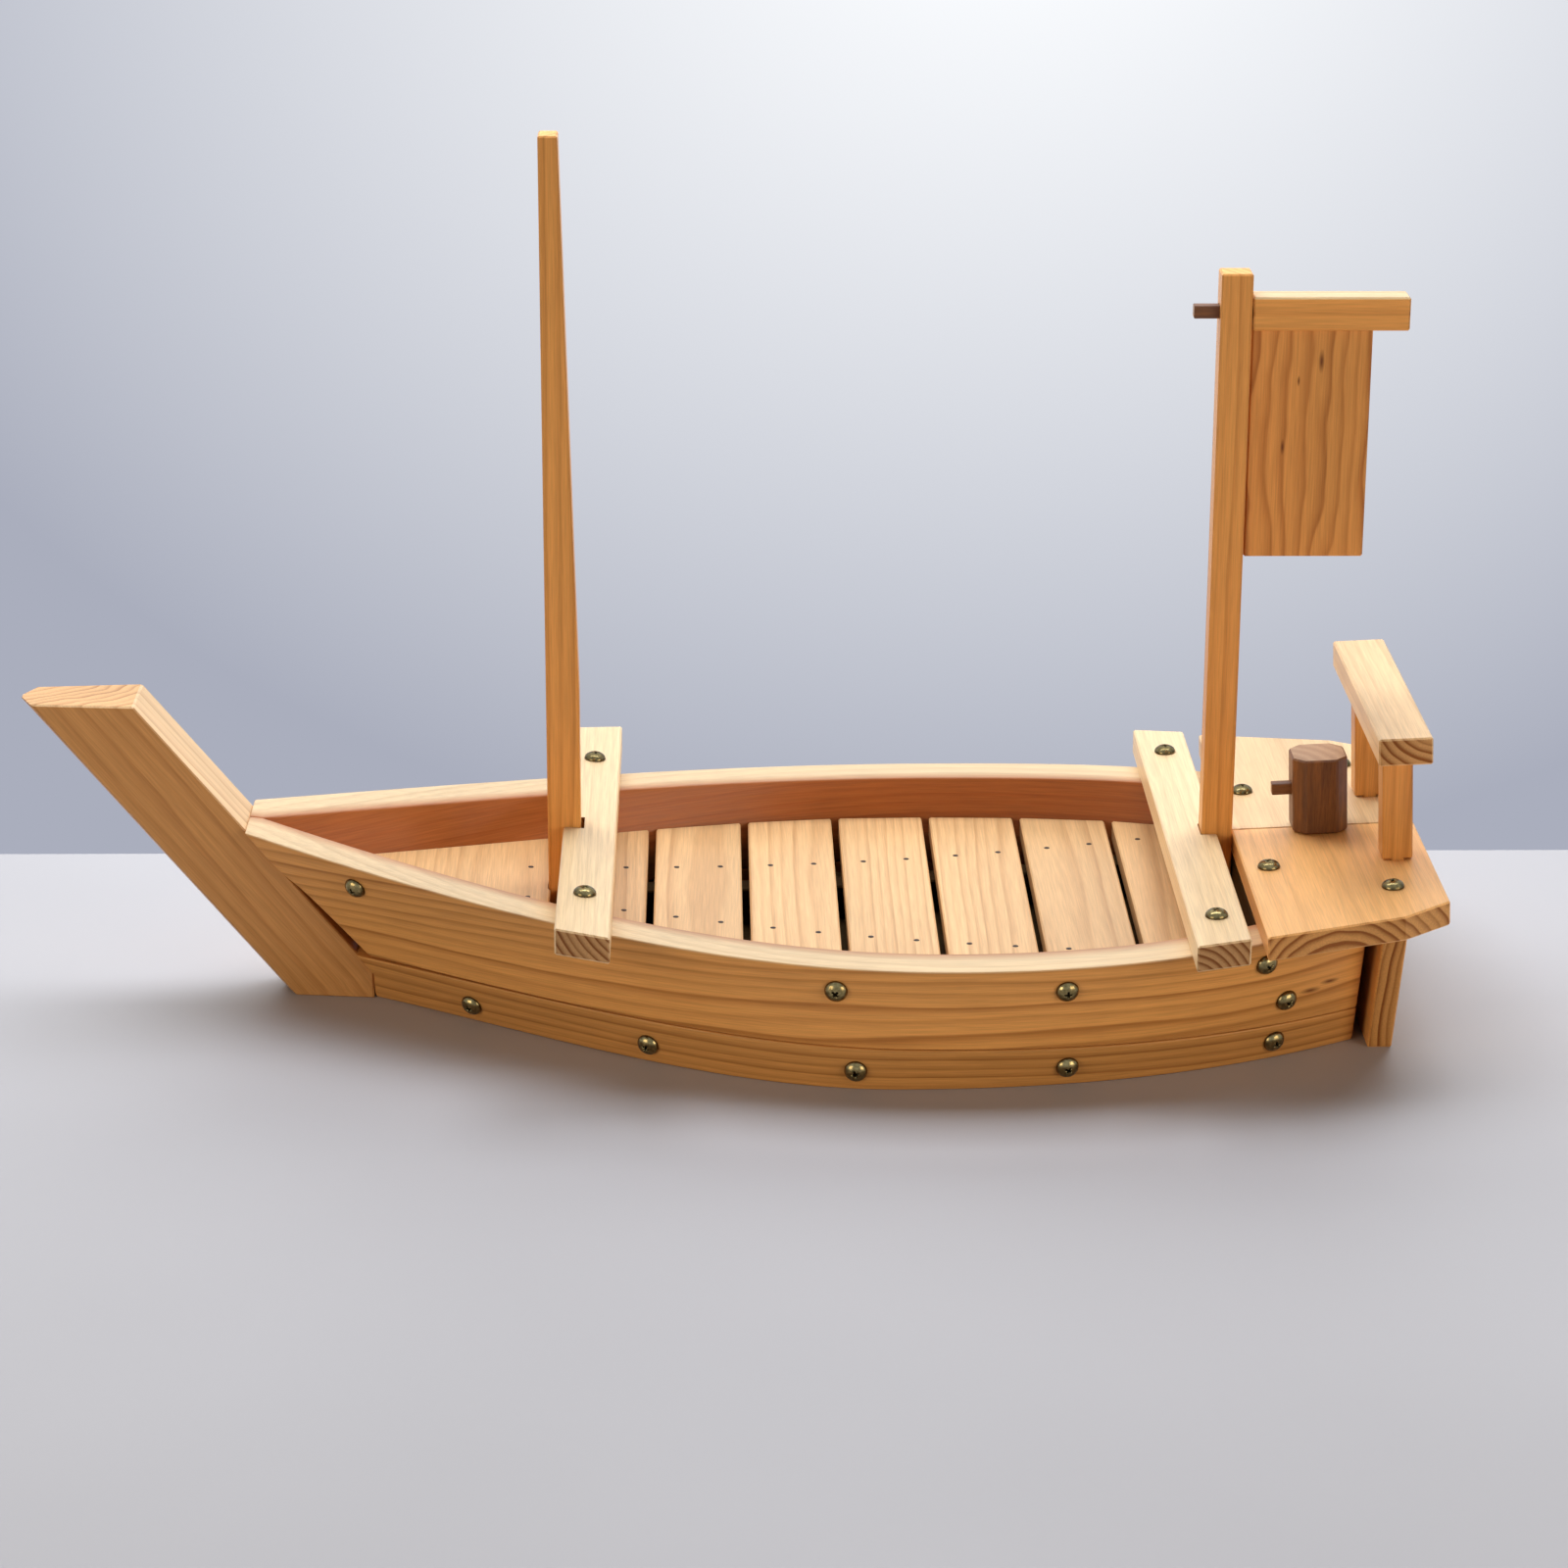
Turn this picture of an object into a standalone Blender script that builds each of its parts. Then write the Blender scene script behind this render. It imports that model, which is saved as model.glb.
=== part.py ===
"""Wooden serving boat: planked hull, slatted deck, lift-out masts, flag and stern rail.

Metres, +Z up, bow towards -X, port side towards -Y. The flat bottom rests on z = 0.
"""
import math

import bmesh
import bpy
from mathutils import Matrix, Vector

# Overall length: places along the boat are given from its bow or from its stern
LENGTH = 0.700              # stem head to the after edge of the stern deck

# Clearances
JOINT = 0.0003              # gap left between pieces that are glued or screwed together
SLIDE = 0.0005              # running gap round the masts and the flag peg
EASE = 0.0008               # eased edge of every wooden piece
SHARP = math.radians(40)    # edges that turn by more than this are eased
OVERCUT = 0.010             # how far a cutter runs past the face it enters
STEP = 0.0005               # half the span over which the hull's slopes are taken

# Stem: raked post with a V-shaped leading edge
STEM_TOP = 0.1553
STEM_RAKE = math.radians(50.7)
STEM_DEPTH = 0.058          # measured level, fore and aft
STEM_WIDTH = 0.0384
STEM_NOSE = 0.0065          # length of the V
STEM_NOSE_WIDTH = 0.030     # width where the V begins
STEM_EDGE = 0.003           # blunted tip of the V
HEEL_RISE = 0.0147          # upright part of the heel

# Hull lines: half breadths and heights along the length
PLANKS_FROM_STERN = 0.0388  # after ends of the planks at the floor
HULL_AFT_RAKE = 0.037
SHEER_FORE_Z = 0.0915
SHEER_FORE_SLOPE = -0.125
SHEER_LOW_FROM_STERN = 0.245
SHEER_LOW_Z = 0.0663
SHEER_AFT_Z = 0.0727
SHEER_AFT_SLOPE = 0.048
RAIL_FORE = 0.025
RAIL_FORE_SLOPE = 0.60
RAIL_MAX_FROM_STERN = 0.240
RAIL_MAX = 0.154
RAIL_AFT = 0.0985
RAIL_AFT_SLOPE = -0.68
FLOOR_FORE = 0.0165
FLOOR_FORE_SLOPE = 0.60
FLOOR_MAX_FROM_STERN = 0.265
FLOOR_MAX = 0.140
FLOOR_AFT = 0.078
FLOOR_AFT_SLOPE = -0.62
PLANK = 0.0245              # plank thickness, seen from above
SEAM_FORE_Z = 0.027
SEAM_AFT_Z = 0.019
STATIONS = 36

# Bottom and deck
BOTTOM_THICK = 0.018
BOTTOM_TIP = 0.004
DECK_DROP = 0.0205          # deck top below the sheer
DECK_THICK = 0.010
SLAT_COUNT = 7
SLAT_GAP = 0.004
FIRST_GAP_FROM_BOW = 0.2645
DECK_END_GAP = 0.0058       # between the last slat and the stern frame
FOREDECK_TIP = 0.006
BEARER_WIDTH = 0.014
BEARER_FROM_BOW = 0.230
BEARER_Y = 0.0405           # bearer centre line amidships
BEARER_SPLAY = 0.19

# Cross beams
BEAM_WIDTH = 0.0263
BEAM_THICK = 0.0132
FORE_BEAM_FROM_BOW = 0.2696
FORE_BEAM_HALF = 0.1552
FORE_BEAM_SNIPE = 0.29
AFT_BEAM_FROM_STERN = 0.1272
AFT_BEAM_HALF = 0.1592
AFT_BEAM_SNIPE = -0.255
NOTCH_PLAY = 0.0018         # room behind the fore mast in its notch

# Masts and flag
MAST_WIDTH = 0.0154
FORE_MAST_FROM_BOW = 0.2617
FORE_MAST_DEPTH = 0.0165
FORE_MAST_HEAD = 0.0095
FORE_MAST_TAPER_Z = 0.160
FORE_MAST_TOP = 0.4372
FLAG_MAST_FROM_STERN = 0.1087
FLAG_MAST_TOP = 0.3702
YARD_LENGTH = 0.0763
YARD_HEIGHT = 0.0165
YARD_TOP = 0.3587
PANEL_LENGTH = 0.059
PANEL_DROP = 0.1145
PANEL_THICK = 0.009
PANEL_TONGUE = 0.004
PEG_SIDE = 0.0063
PEG_OUT = 0.0125
PEG_ROOT = 0.016

# Stern deck and its fittings
STERN_THICK = 0.0122
STERN_HALF_FORE = 0.1524
STERN_HALF_KNEE = 0.1334
STERN_KNEE = 0.068          # from the forward edge
STERN_HALF_AFT = 0.1153
FRAME_THICK = 0.024
TRANSOM_THICK = 0.012
TRANSOM_GAP = 0.006
TRANSOM_LIP = 0.0105
POST_SIDE = 0.015
POST_SETBACK = 0.0685       # from the forward edge of the stern deck
POST_INNER_Y = 0.040
POST_HEIGHT = 0.0582
TENON_THICK = 0.007
TENON_LENGTH = 0.008
RAIL_WIDTH = 0.0263
RAIL_THICK = 0.0137
RAIL_HALF = 0.0812
BLOCK_SIDE = 0.0276
BLOCK_CUT = 0.0058
BLOCK_HEIGHT = 0.039
BLOCK_SETBACK = 0.0302
TILLER_SIDE = 0.0058
TILLER_OUT = 0.0098
TILLER_ROOT = 0.012
TILLER_HEIGHT = 0.0213

# Fasteners
SCREW_HEAD = 0.0056
SCREW_DOME = 0.0036
SCREW_SHANK = 0.0017
SIDE_SCREW = 0.016
DECK_SCREW = 0.024
UPPER_FROM_BOW = (0.168,)
UPPER_FROM_STERN = (0.297, 0.187, 0.089)
UPPER_SCREW_DROP = 0.0125
LOWER_FROM_BOW = (0.2245, 0.313)
LOWER_FROM_STERN = (0.287, 0.185, 0.0815)
LOWER_SCREW_Z = 0.0105
FRAME_SCREW_FROM_STERN = 0.077
FRAME_SCREW_Z = 0.034
STERN_SCREW_Y = 0.0568
TRANSOM_SCREW_Y = 0.092

# Finishes: linear colour, roughness, metallic
PINE = ((0.56, 0.30, 0.11), 0.45, 0.0)
DARK_WOOD = ((0.07, 0.022, 0.009), 0.50, 0.0)
BRASS = ((0.42, 0.31, 0.15), 0.32, 1.0)

# Places that follow from the sizes above
BOW_X = -LENGTH / 2
STERN_X = LENGTH / 2
STEM_SLOPE = math.tan(STEM_RAKE)
HEEL_X = BOW_X + STEM_DEPTH + (STEM_TOP - HEEL_RISE) / STEM_SLOPE
HULL_FORE_X = BOW_X + STEM_DEPTH + (STEM_TOP - SHEER_FORE_Z) / STEM_SLOPE + JOINT
HULL_AFT_X = STERN_X - PLANKS_FROM_STERN
SHEER_LOW_X = STERN_X - SHEER_LOW_FROM_STERN
RAIL_MAX_X = STERN_X - RAIL_MAX_FROM_STERN
FLOOR_MAX_X = STERN_X - FLOOR_MAX_FROM_STERN
FIRST_GAP_X = BOW_X + FIRST_GAP_FROM_BOW
BEARER_FORE_X = BOW_X + BEARER_FROM_BOW
FORE_BEAM_X = BOW_X + FORE_BEAM_FROM_BOW
AFT_BEAM_X = STERN_X - AFT_BEAM_FROM_STERN
FORE_MAST_X = BOW_X + FORE_MAST_FROM_BOW
FLAG_MAST_X = STERN_X - FLAG_MAST_FROM_STERN
FORE_MAST_BACK = FORE_MAST_X + FORE_MAST_DEPTH
FLAG_MAST_BACK = FLAG_MAST_X + MAST_WIDTH
MAST_FOOT = BOTTOM_THICK + JOINT
STERN_FORE_X = FLAG_MAST_BACK + SLIDE + STERN_THICK * SHEER_AFT_SLOPE    # its top edge leans forward
SLAT_PITCH = (STERN_FORE_X - DECK_END_GAP + SLAT_GAP / 2 - FIRST_GAP_X) / SLAT_COUNT
SCREW_HOLE = SCREW_SHANK + JOINT

for leftover in list(bpy.data.objects):
    bpy.data.objects.remove(leftover)
BOAT = bpy.data.collections.new("serving_boat")
CUTTERS = bpy.data.collections.new("cutters")
for group in (BOAT, CUTTERS):
    bpy.context.scene.collection.children.link(group)


def between(x, fore, aft):
    """Cubic through two ends, each (x, value, slope), carried on straight beyond them."""
    (x0, v0, m0), (x1, v1, m1) = fore, aft
    if x <= x0:
        return v0 + m0 * (x - x0)
    if x >= x1:
        return v1 + m1 * (x - x1)
    span = x1 - x0
    t = (x - x0) / span
    start = (2 * t ** 3 - 3 * t ** 2 + 1) * v0 + (t ** 3 - 2 * t ** 2 + t) * span * m0
    return start + (3 * t ** 2 - 2 * t ** 3) * v1 + (t ** 3 - t ** 2) * span * m1


def through(x, fore, middle, aft):
    """Curve through three stations, level at the middle one."""
    return between(x, fore, middle) if x < middle[0] else between(x, middle, aft)


def sheer(x):
    """Height of the plank tops."""
    return through(x, (HULL_FORE_X, SHEER_FORE_Z, SHEER_FORE_SLOPE), (SHEER_LOW_X, SHEER_LOW_Z, 0.0),
                   (HULL_AFT_X, SHEER_AFT_Z, SHEER_AFT_SLOPE))


def rail_half(x):
    """Half breadth outside the planks at the sheer."""
    return through(x, (HULL_FORE_X, RAIL_FORE, RAIL_FORE_SLOPE), (RAIL_MAX_X, RAIL_MAX, 0.0),
                   (HULL_AFT_X, RAIL_AFT, RAIL_AFT_SLOPE))


def floor_half(x):
    """Half breadth outside the planks at the floor."""
    return through(x, (HEEL_X, FLOOR_FORE, FLOOR_FORE_SLOPE), (FLOOR_MAX_X, FLOOR_MAX, 0.0),
                   (HULL_AFT_X, FLOOR_AFT, FLOOR_AFT_SLOPE))


def seam(x):
    """Height of the joint between the lower and the upper plank."""
    along = (x - HEEL_X) / (HULL_AFT_X - HEEL_X)
    return SEAM_FORE_Z + (SEAM_AFT_Z - SEAM_FORE_Z) * along


def outer_half(x, z):
    """Half breadth outside the planks, which flare evenly from floor to sheer."""
    return floor_half(x) + (rail_half(x) - floor_half(x)) * z / sheer(x)


def inner_half(x, z):
    """Half breadth inside the planks; the two sides meet behind the stem."""
    slope = (outer_half(x + STEP, z) - outer_half(x - STEP, z)) / (2 * STEP)
    return max(outer_half(x, z) - PLANK * math.hypot(1.0, slope), JOINT / 2)


def stem_front(z):
    """Leading edge of the stem."""
    return BOW_X + (STEM_TOP - z) / STEM_SLOPE


def stem_back(z):
    """After face of the stem, upright at the heel."""
    return min(stem_front(z) + STEM_DEPTH, HEEL_X)


def plank_fore(z):
    """Forward end of the planks, against the stem."""
    return stem_back(z) + JOINT


def plank_aft(z):
    """After end of the planks."""
    return HULL_AFT_X + HULL_AFT_RAKE * z


def transom_x(z):
    """Forward face of the transom."""
    return plank_aft(z) + TRANSOM_GAP


def deck_top(x):
    """Top of the deck, a fixed drop below the sheer."""
    return sheer(x) - DECK_DROP


def stern_under(x):
    """Underside of the stern deck, which lies straight on the plank tops."""
    return STERN_FORE_Z + (x - STERN_FORE_X) * math.tan(STERN_TILT)


def bearer_y(x):
    """Centre line of a deck bearer."""
    return BEARER_Y + BEARER_SPLAY * x


STERN_FORE_Z = sheer(STERN_FORE_X) + JOINT
STERN_END_X = plank_aft(SHEER_AFT_Z)
STERN_TILT = math.atan2(sheer(STERN_END_X) - sheer(STERN_FORE_X), STERN_END_X - STERN_FORE_X)
STERN = Matrix.Translation((STERN_FORE_X, 0.0, STERN_FORE_Z)) @ Matrix.Rotation(-STERN_TILT, 4, "Y")
PEG_Z = YARD_TOP - YARD_HEIGHT / 2


def ramp(start, stop, count):
    """Evenly spaced values from start to stop."""
    return [start + (stop - start) * i / count for i in range(count + 1)]


def loft(rings):
    """Closed body through rings of equal length, each end capped rung by rung up its two sides."""
    bm = bmesh.new()
    rows = [[bm.verts.new(point) for point in ring] for ring in rings]
    for near, far in zip(rows, rows[1:]):
        for i in range(len(near)):
            bm.faces.new((near[i - 1], near[i], far[i], far[i - 1]))
    for end in (rows[0], rows[-1]):
        for i in range(len(end) // 2 - 1):
            bm.faces.new((end[i], end[i + 1], end[-2 - i], end[-1 - i]))
    return bm


def shaped(corner):
    """Cube whose corners are put where corner(sx, sy, sz) says, for signs of -1 or 1."""
    bm = bmesh.new()
    bmesh.ops.create_cube(bm, size=2.0)
    for vert in bm.verts:
        vert.co = corner(*(round(c) for c in vert.co))
    return bm


def box(low, high):
    """Upright box between two corners."""
    return shaped(lambda *s: [low[i] if s[i] < 0 else high[i] for i in range(3)])


def prism(outline, sweep):
    """Flat outline swept along a vector."""
    bm = bmesh.new()
    face = bm.faces.new([bm.verts.new(point) for point in outline])
    swept = bmesh.ops.extrude_face_region(bm, geom=[face])["geom"]
    bmesh.ops.translate(bm, verts=[v for v in swept if isinstance(v, bmesh.types.BMVert)], vec=sweep)
    return bm


def aim(point, outward):
    """Matrix that puts local +Z along outward at a point."""
    return Matrix.Translation(point) @ Vector(outward).to_track_quat("Z", "Y").to_matrix().to_4x4()


def drill(radius, depth, places, segments):
    """Cylinders that run from just above each place down its axis."""
    bm = bmesh.new()
    for place in places:
        lead = Matrix.Translation((0.0, 0.0, (OVERCUT - depth) / 2))
        bmesh.ops.create_cone(bm, cap_ends=True, segments=segments, radius1=radius, radius2=radius,
                              depth=depth + OVERCUT, matrix=place @ lead)
    return bm


def finish(name, colour, roughness, metallic):
    """Material of one piece."""
    material = bpy.data.materials.new(name + "_finish")
    material.use_nodes = True
    shader = material.node_tree.nodes["Principled BSDF"]
    shader.inputs["Base Color"].default_value = (*colour, 1.0)
    shader.inputs["Roughness"].default_value = roughness
    shader.inputs["Metallic"].default_value = metallic
    return material


def put(name, bm, collection, holder=None):
    """Object made from a body, facing out, at its holder's place."""
    bmesh.ops.recalc_face_normals(bm, faces=bm.faces)
    mesh = bpy.data.meshes.new(name)
    bm.to_mesh(mesh)
    bm.free()
    piece = bpy.data.objects.new(name, mesh)
    collection.objects.link(piece)
    piece.parent = holder
    return piece


def add(name, bm, look=PINE, cuts=(), holder=None, ease=EASE):
    """Piece of the boat with its outer edges eased, its inner corners crisp, and its cuts."""
    bmesh.ops.recalc_face_normals(bm, faces=bm.faces)
    weight = bm.edges.layers.float.new("bevel_weight_edge")
    for edge in bm.edges:
        edge[weight] = 1.0 if edge.calc_face_angle_signed() > SHARP else 0.0
    piece = put(name, bm, BOAT, holder)
    piece.data.materials.append(finish(name, *look))
    bevel = piece.modifiers.new("eased edges", "BEVEL")
    bevel.width = ease
    bevel.segments = 1
    bevel.limit_method = "WEIGHT"
    for cutter in cuts:
        cut = piece.modifiers.new(cutter.name, "BOOLEAN")
        cut.operation = "DIFFERENCE"
        cut.solver = "EXACT"
        cut.object = cutter
    return piece


def cutter(name, bm, holder=None):
    """Hidden body that is taken out of pieces."""
    piece = put(name, bm, CUTTERS, holder)
    piece.hide_render = True
    piece.display_type = "WIRE"
    return piece


def guide(name, place, holder=None):
    """Empty that carries a group of pieces, such as those on one joint axis."""
    empty = bpy.data.objects.new(name, None)
    BOAT.objects.link(empty)
    empty.parent = holder
    empty.location = place.to_translation()
    empty.rotation_euler = place.to_euler()
    return empty


def side_place(x, z, side):
    """Place of a screw on the outside of the planks, square to them."""
    along = (outer_half(x + STEP, z) - outer_half(x - STEP, z)) / (2 * STEP)
    up = (outer_half(x, z + STEP) - outer_half(x, z - STEP)) / (2 * STEP)
    outward = Vector((-along, side, -up)).normalized()
    return aim(Vector((x, side * outer_half(x, z), z)) + outward * JOINT, outward)


def side_screws(side):
    """Places of the screws along one side of the hull."""
    upper = [BOW_X + d for d in UPPER_FROM_BOW] + [STERN_X - d for d in UPPER_FROM_STERN]
    lower = [BOW_X + d for d in LOWER_FROM_BOW] + [STERN_X - d for d in LOWER_FROM_STERN]
    spots = [(x, sheer(x) - UPPER_SCREW_DROP) for x in upper] + [(x, LOWER_SCREW_Z) for x in lower]
    spots.append((STERN_X - FRAME_SCREW_FROM_STERN, FRAME_SCREW_Z))
    return [side_place(x, z, side) for x, z in spots]


def beam_top(x, fore_x):
    """Top of a cross beam, which bridges the plank tops between its two edges."""
    edges = (fore_x, fore_x + BEAM_WIDTH)
    share = (x - edges[0]) / BEAM_WIDTH
    return sheer(edges[0]) * (1 - share) + sheer(edges[1]) * share + JOINT + BEAM_THICK


def beam_screws(fore_x):
    """Places of a beam's two screws, over the middle of the plank tops."""
    x = fore_x + BEAM_WIDTH / 2
    z = beam_top(x, fore_x)
    y = (outer_half(x, sheer(x)) + inner_half(x, sheer(x))) / 2
    slope = (beam_top(fore_x + BEAM_WIDTH, fore_x) - beam_top(fore_x, fore_x)) / BEAM_WIDTH
    outward = Vector((-slope, 0.0, 1.0)).normalized()
    return [aim(Vector((x, side * y, z)) + outward * JOINT, outward) for side in (-1, 1)]


def stern_screws():
    """Places of the stern deck's screws, over the frame and over the transom."""
    top = STERN_THICK + JOINT
    aft = transom_x(stern_under(STERN_END_X)) + TRANSOM_THICK / 2 - STERN_FORE_X
    spots = [(FRAME_THICK / 2, side * STERN_SCREW_Y) for side in (-1, 1)]
    spots += [(aft, side * TRANSOM_SCREW_Y) for side in (-1, 1)]
    return [STERN @ Matrix.Translation((x, y, top)) for x, y in spots]


def slat_edges(i):
    """Forward and after edge of deck slat i, counted from 1."""
    aft_gap = FIRST_GAP_X + i * SLAT_PITCH
    return aft_gap - SLAT_PITCH + SLAT_GAP / 2, aft_gap - SLAT_GAP / 2


def strake(side, low, high, levels):
    """Plank bent round one side between two height lines, butted against the stem."""
    rings = []
    for s in ramp(0.0, 1.0, STATIONS):
        line = []
        for f in levels:
            z = f * high(0.0)
            for _ in range(8):
                x = plank_fore(z) + s * (plank_aft(z) - plank_fore(z))
                z = low(x) + f * (high(x) - low(x))
            line.append((x, z))
        outside = [(x, side * outer_half(x, z), z) for x, z in line]
        inside = [(x, side * inner_half(x, z), z) for x, z in reversed(line)]
        rings.append(outside + inside)
    return loft(rings)


def board(stations, top, under):
    """Level-edged board fitted between the planks."""
    rings = []
    for x in stations:
        high, low = top(x), under(x)
        wide, narrow = inner_half(x, high) - JOINT, inner_half(x, low) - JOINT
        rings.append([(x, -narrow, low), (x, narrow, low), (x, wide, high), (x, -wide, high)])
    return loft(rings)


def first_clear(end, clear):
    """Station nearest an end of the boat, on the way amidships, from which a test of stations holds."""
    inside = FLOOR_MAX_X
    if clear(end):
        return end
    for _ in range(40):
        middle = (end + inside) / 2
        if clear(middle):
            inside = middle
        else:
            end = middle
    return inside


def bearer_clear(x):
    """Whether a bearer clears the planks beside it."""
    return bearer_y(x) + BEARER_WIDTH / 2 < inner_half(x, BOTTOM_THICK) - 2 * JOINT


def deck_under(x):
    """Underside of the deck."""
    return deck_top(x) - DECK_THICK


def make_cutters(stern):
    """Bodies taken out for fasteners, masts, pegs and tenons."""
    half = MAST_WIDTH / 2 + SLIDE
    fore_low, fore_high = deck_under(FORE_MAST_X) - OVERCUT, deck_top(FORE_MAST_X) + OVERCUT
    beam_high = beam_top(FORE_BEAM_X, FORE_BEAM_X) + OVERCUT
    stern_high = STERN_FORE_Z + STERN_THICK + BEAM_THICK
    peg = PEG_SIDE / 2 + JOINT
    groove, yard_under = PANEL_THICK / 2 + JOINT, YARD_TOP - YARD_HEIGHT
    tiller = TILLER_SIDE / 2 + JOINT
    screws = beam_screws(FORE_BEAM_X) + beam_screws(AFT_BEAM_X) + stern_screws()
    tenons = bmesh.new()
    mesh = bpy.data.meshes.new("mortise")
    tenon_fore = POST_SETBACK + (POST_SIDE - TENON_THICK) / 2 - JOINT
    tenon_aft = tenon_fore + TENON_THICK + 2 * JOINT
    for side in (-1, 1):
        ys = sorted(side * (y + e) for y, e in ((POST_INNER_Y, -JOINT), (POST_INNER_Y + POST_SIDE, JOINT)))
        for middle in (STERN_THICK, STERN_THICK + POST_HEIGHT):
            reach = TENON_LENGTH + 2 * JOINT
            mortise = box((tenon_fore, ys[0], middle - reach), (tenon_aft, ys[1], middle + reach))
            mortise.to_mesh(mesh)
            mortise.free()
            tenons.from_mesh(mesh)
    return {
        "port": cutter("port_holes", drill(SCREW_HOLE, SIDE_SCREW + 2 * JOINT, side_screws(-1), 8)),
        "starboard": cutter("starboard_holes",
                            drill(SCREW_HOLE, SIDE_SCREW + 2 * JOINT, side_screws(1), 8)),
        "top": cutter("top_holes", drill(SCREW_HOLE, DECK_SCREW + 2 * JOINT, screws, 8)),
        "fore_hole": cutter("fore_mast_hole", box((FORE_MAST_X - SLIDE, -half, fore_low),
                                                  (FORE_MAST_BACK + SLIDE, half, fore_high))),
        "fore_notch": cutter("fore_mast_notch", box((FORE_BEAM_X - OVERCUT, -half, fore_high),
                                                    (FORE_MAST_BACK + NOTCH_PLAY, half, beam_high))),
        "aft_notch": cutter("flag_mast_notch", box((FLAG_MAST_X - SLIDE, -half, BOTTOM_THICK),
                                                   (STERN_FORE_X + OVERCUT, half, stern_high))),
        "peg": cutter("peg_hole", box((FLAG_MAST_X - OVERCUT, -peg, PEG_Z - peg),
                                      (FLAG_MAST_BACK + PEG_ROOT + SLIDE, peg, PEG_Z + peg))),
        "groove": cutter("panel_groove", box((FLAG_MAST_BACK - OVERCUT, -groove, yard_under - OVERCUT),
                                             (FLAG_MAST_BACK + SLIDE + PANEL_LENGTH + JOINT, groove,
                                              yard_under + PANEL_TONGUE + JOINT))),
        "mortises": cutter("post_mortises", tenons, stern),
        "tiller": cutter("tiller_hole",
                         box((BLOCK_SETBACK - OVERCUT, -tiller, STERN_THICK + TILLER_HEIGHT - tiller),
                             (BLOCK_SETBACK + TILLER_ROOT + JOINT, tiller,
                              STERN_THICK + TILLER_HEIGHT + tiller)), stern),
    }


def make_hull(cut):
    """Stem, planks, bottom board, transom and stern frame."""
    rings = []
    for z in (0.0, HEEL_RISE, STEM_TOP):
        front, back = stem_front(z), stem_back(z)
        line = [(front, STEM_EDGE / 2), (front + STEM_NOSE, STEM_NOSE_WIDTH / 2), (back, STEM_WIDTH / 2)]
        rings.append([(x, -y, z) for x, y in line] + [(x, y, z) for x, y in reversed(line)])
    add("stem", loft(rings))
    heel_level = HEEL_RISE / (seam(HEEL_X) - JOINT / 2)
    for side, name in ((-1, "port"), (1, "starboard")):
        lower = strake(side, lambda x: 0.0, lambda x: seam(x) - JOINT / 2, (0.0, heel_level, 1.0))
        add("lower_strake_" + name, lower, cuts=[cut[name]])
        upper = strake(side, lambda x: seam(x) + JOINT / 2, sheer, (0.0, 0.5, 1.0))
        add("upper_strake_" + name, upper, cuts=[cut[name], cut["top"]])
    tip = first_clear(HEEL_X, lambda x: inner_half(x, 0.0) > BOTTOM_TIP)
    add("bottom_board", board(ramp(tip, transom_x(0.0) - JOINT, 24), lambda x: BOTTOM_THICK, lambda x: 0.0))

    def transom_corner(sx, sy, sz):
        z = 0.0 if sz < 0 else stern_under(transom_x(SHEER_AFT_Z)) - JOINT
        x = transom_x(z) + (TRANSOM_THICK if sx > 0 else 0.0)
        if sz > 0:
            z = stern_under(x) - JOINT
        return x, sy * (outer_half(plank_aft(z), min(z, sheer(HULL_AFT_X))) + TRANSOM_LIP), z

    def frame_corner(sx, sy, sz):
        x = STERN_FORE_X + (FRAME_THICK if sx > 0 else 0.0)
        z = BOTTOM_THICK + JOINT if sz < 0 else stern_under(x) - JOINT
        return x, sy * (inner_half(x, z) - 2 * JOINT), z

    add("transom", shaped(transom_corner), cuts=[cut["top"]])
    add("stern_frame", shaped(frame_corner), cuts=[cut["top"]])


def make_deck(cut):
    """Bearers, foredeck board and slats."""
    half = BEARER_WIDTH / 2
    ends = first_clear(BEARER_FORE_X, bearer_clear), first_clear(STERN_FORE_X - JOINT, bearer_clear)
    for side, name in ((-1, "port"), (1, "starboard")):
        rings = []
        for x in ramp(*ends, 12):
            y = side * bearer_y(x)
            low, high = BOTTOM_THICK + JOINT, deck_under(x) - JOINT
            rings.append([(x, y - half, low), (x, y + half, low), (x, y + half, high), (x, y - half, high)])
        add("deck_bearer_" + name, loft(rings))
    tip = first_clear(HULL_FORE_X, lambda x: inner_half(x, deck_top(x)) > FOREDECK_TIP)
    aft = FIRST_GAP_X - SLAT_GAP / 2
    add("foredeck", board(ramp(tip, aft, 8), deck_top, deck_under), cuts=[cut["fore_hole"]])
    for i in range(1, SLAT_COUNT + 1):
        edges = slat_edges(i)

        def corner(sx, sy, sz):
            x = edges[0] if sx < 0 else edges[1]
            z = deck_under(x) if sz < 0 else deck_top(x)
            return x, sy * (inner_half(x, z) - 2 * JOINT), z

        holes = {1: [cut["fore_hole"]], SLAT_COUNT: [cut["aft_notch"]]}
        add("deck_slat_%d" % i, shaped(corner), cuts=holes.get(i, []))


def make_beams(cut):
    """Cross beams that lie over the plank tops and stick out beyond them."""
    for name, fore_x, reach, snipe, notch in (
            ("fore_beam", FORE_BEAM_X, FORE_BEAM_HALF, FORE_BEAM_SNIPE, cut["fore_notch"]),
            ("aft_beam", AFT_BEAM_X, AFT_BEAM_HALF, AFT_BEAM_SNIPE, cut["aft_notch"])):

        def corner(sx, sy, sz):
            x = fore_x + (BEAM_WIDTH if sx > 0 else 0.0)
            z = beam_top(x, fore_x) - (BEAM_THICK if sz < 0 else 0.0)
            return x, sy * (reach + sx * snipe * BEAM_WIDTH / 2), z

        add(name, shaped(corner), cuts=[notch, cut["top"]])


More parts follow.
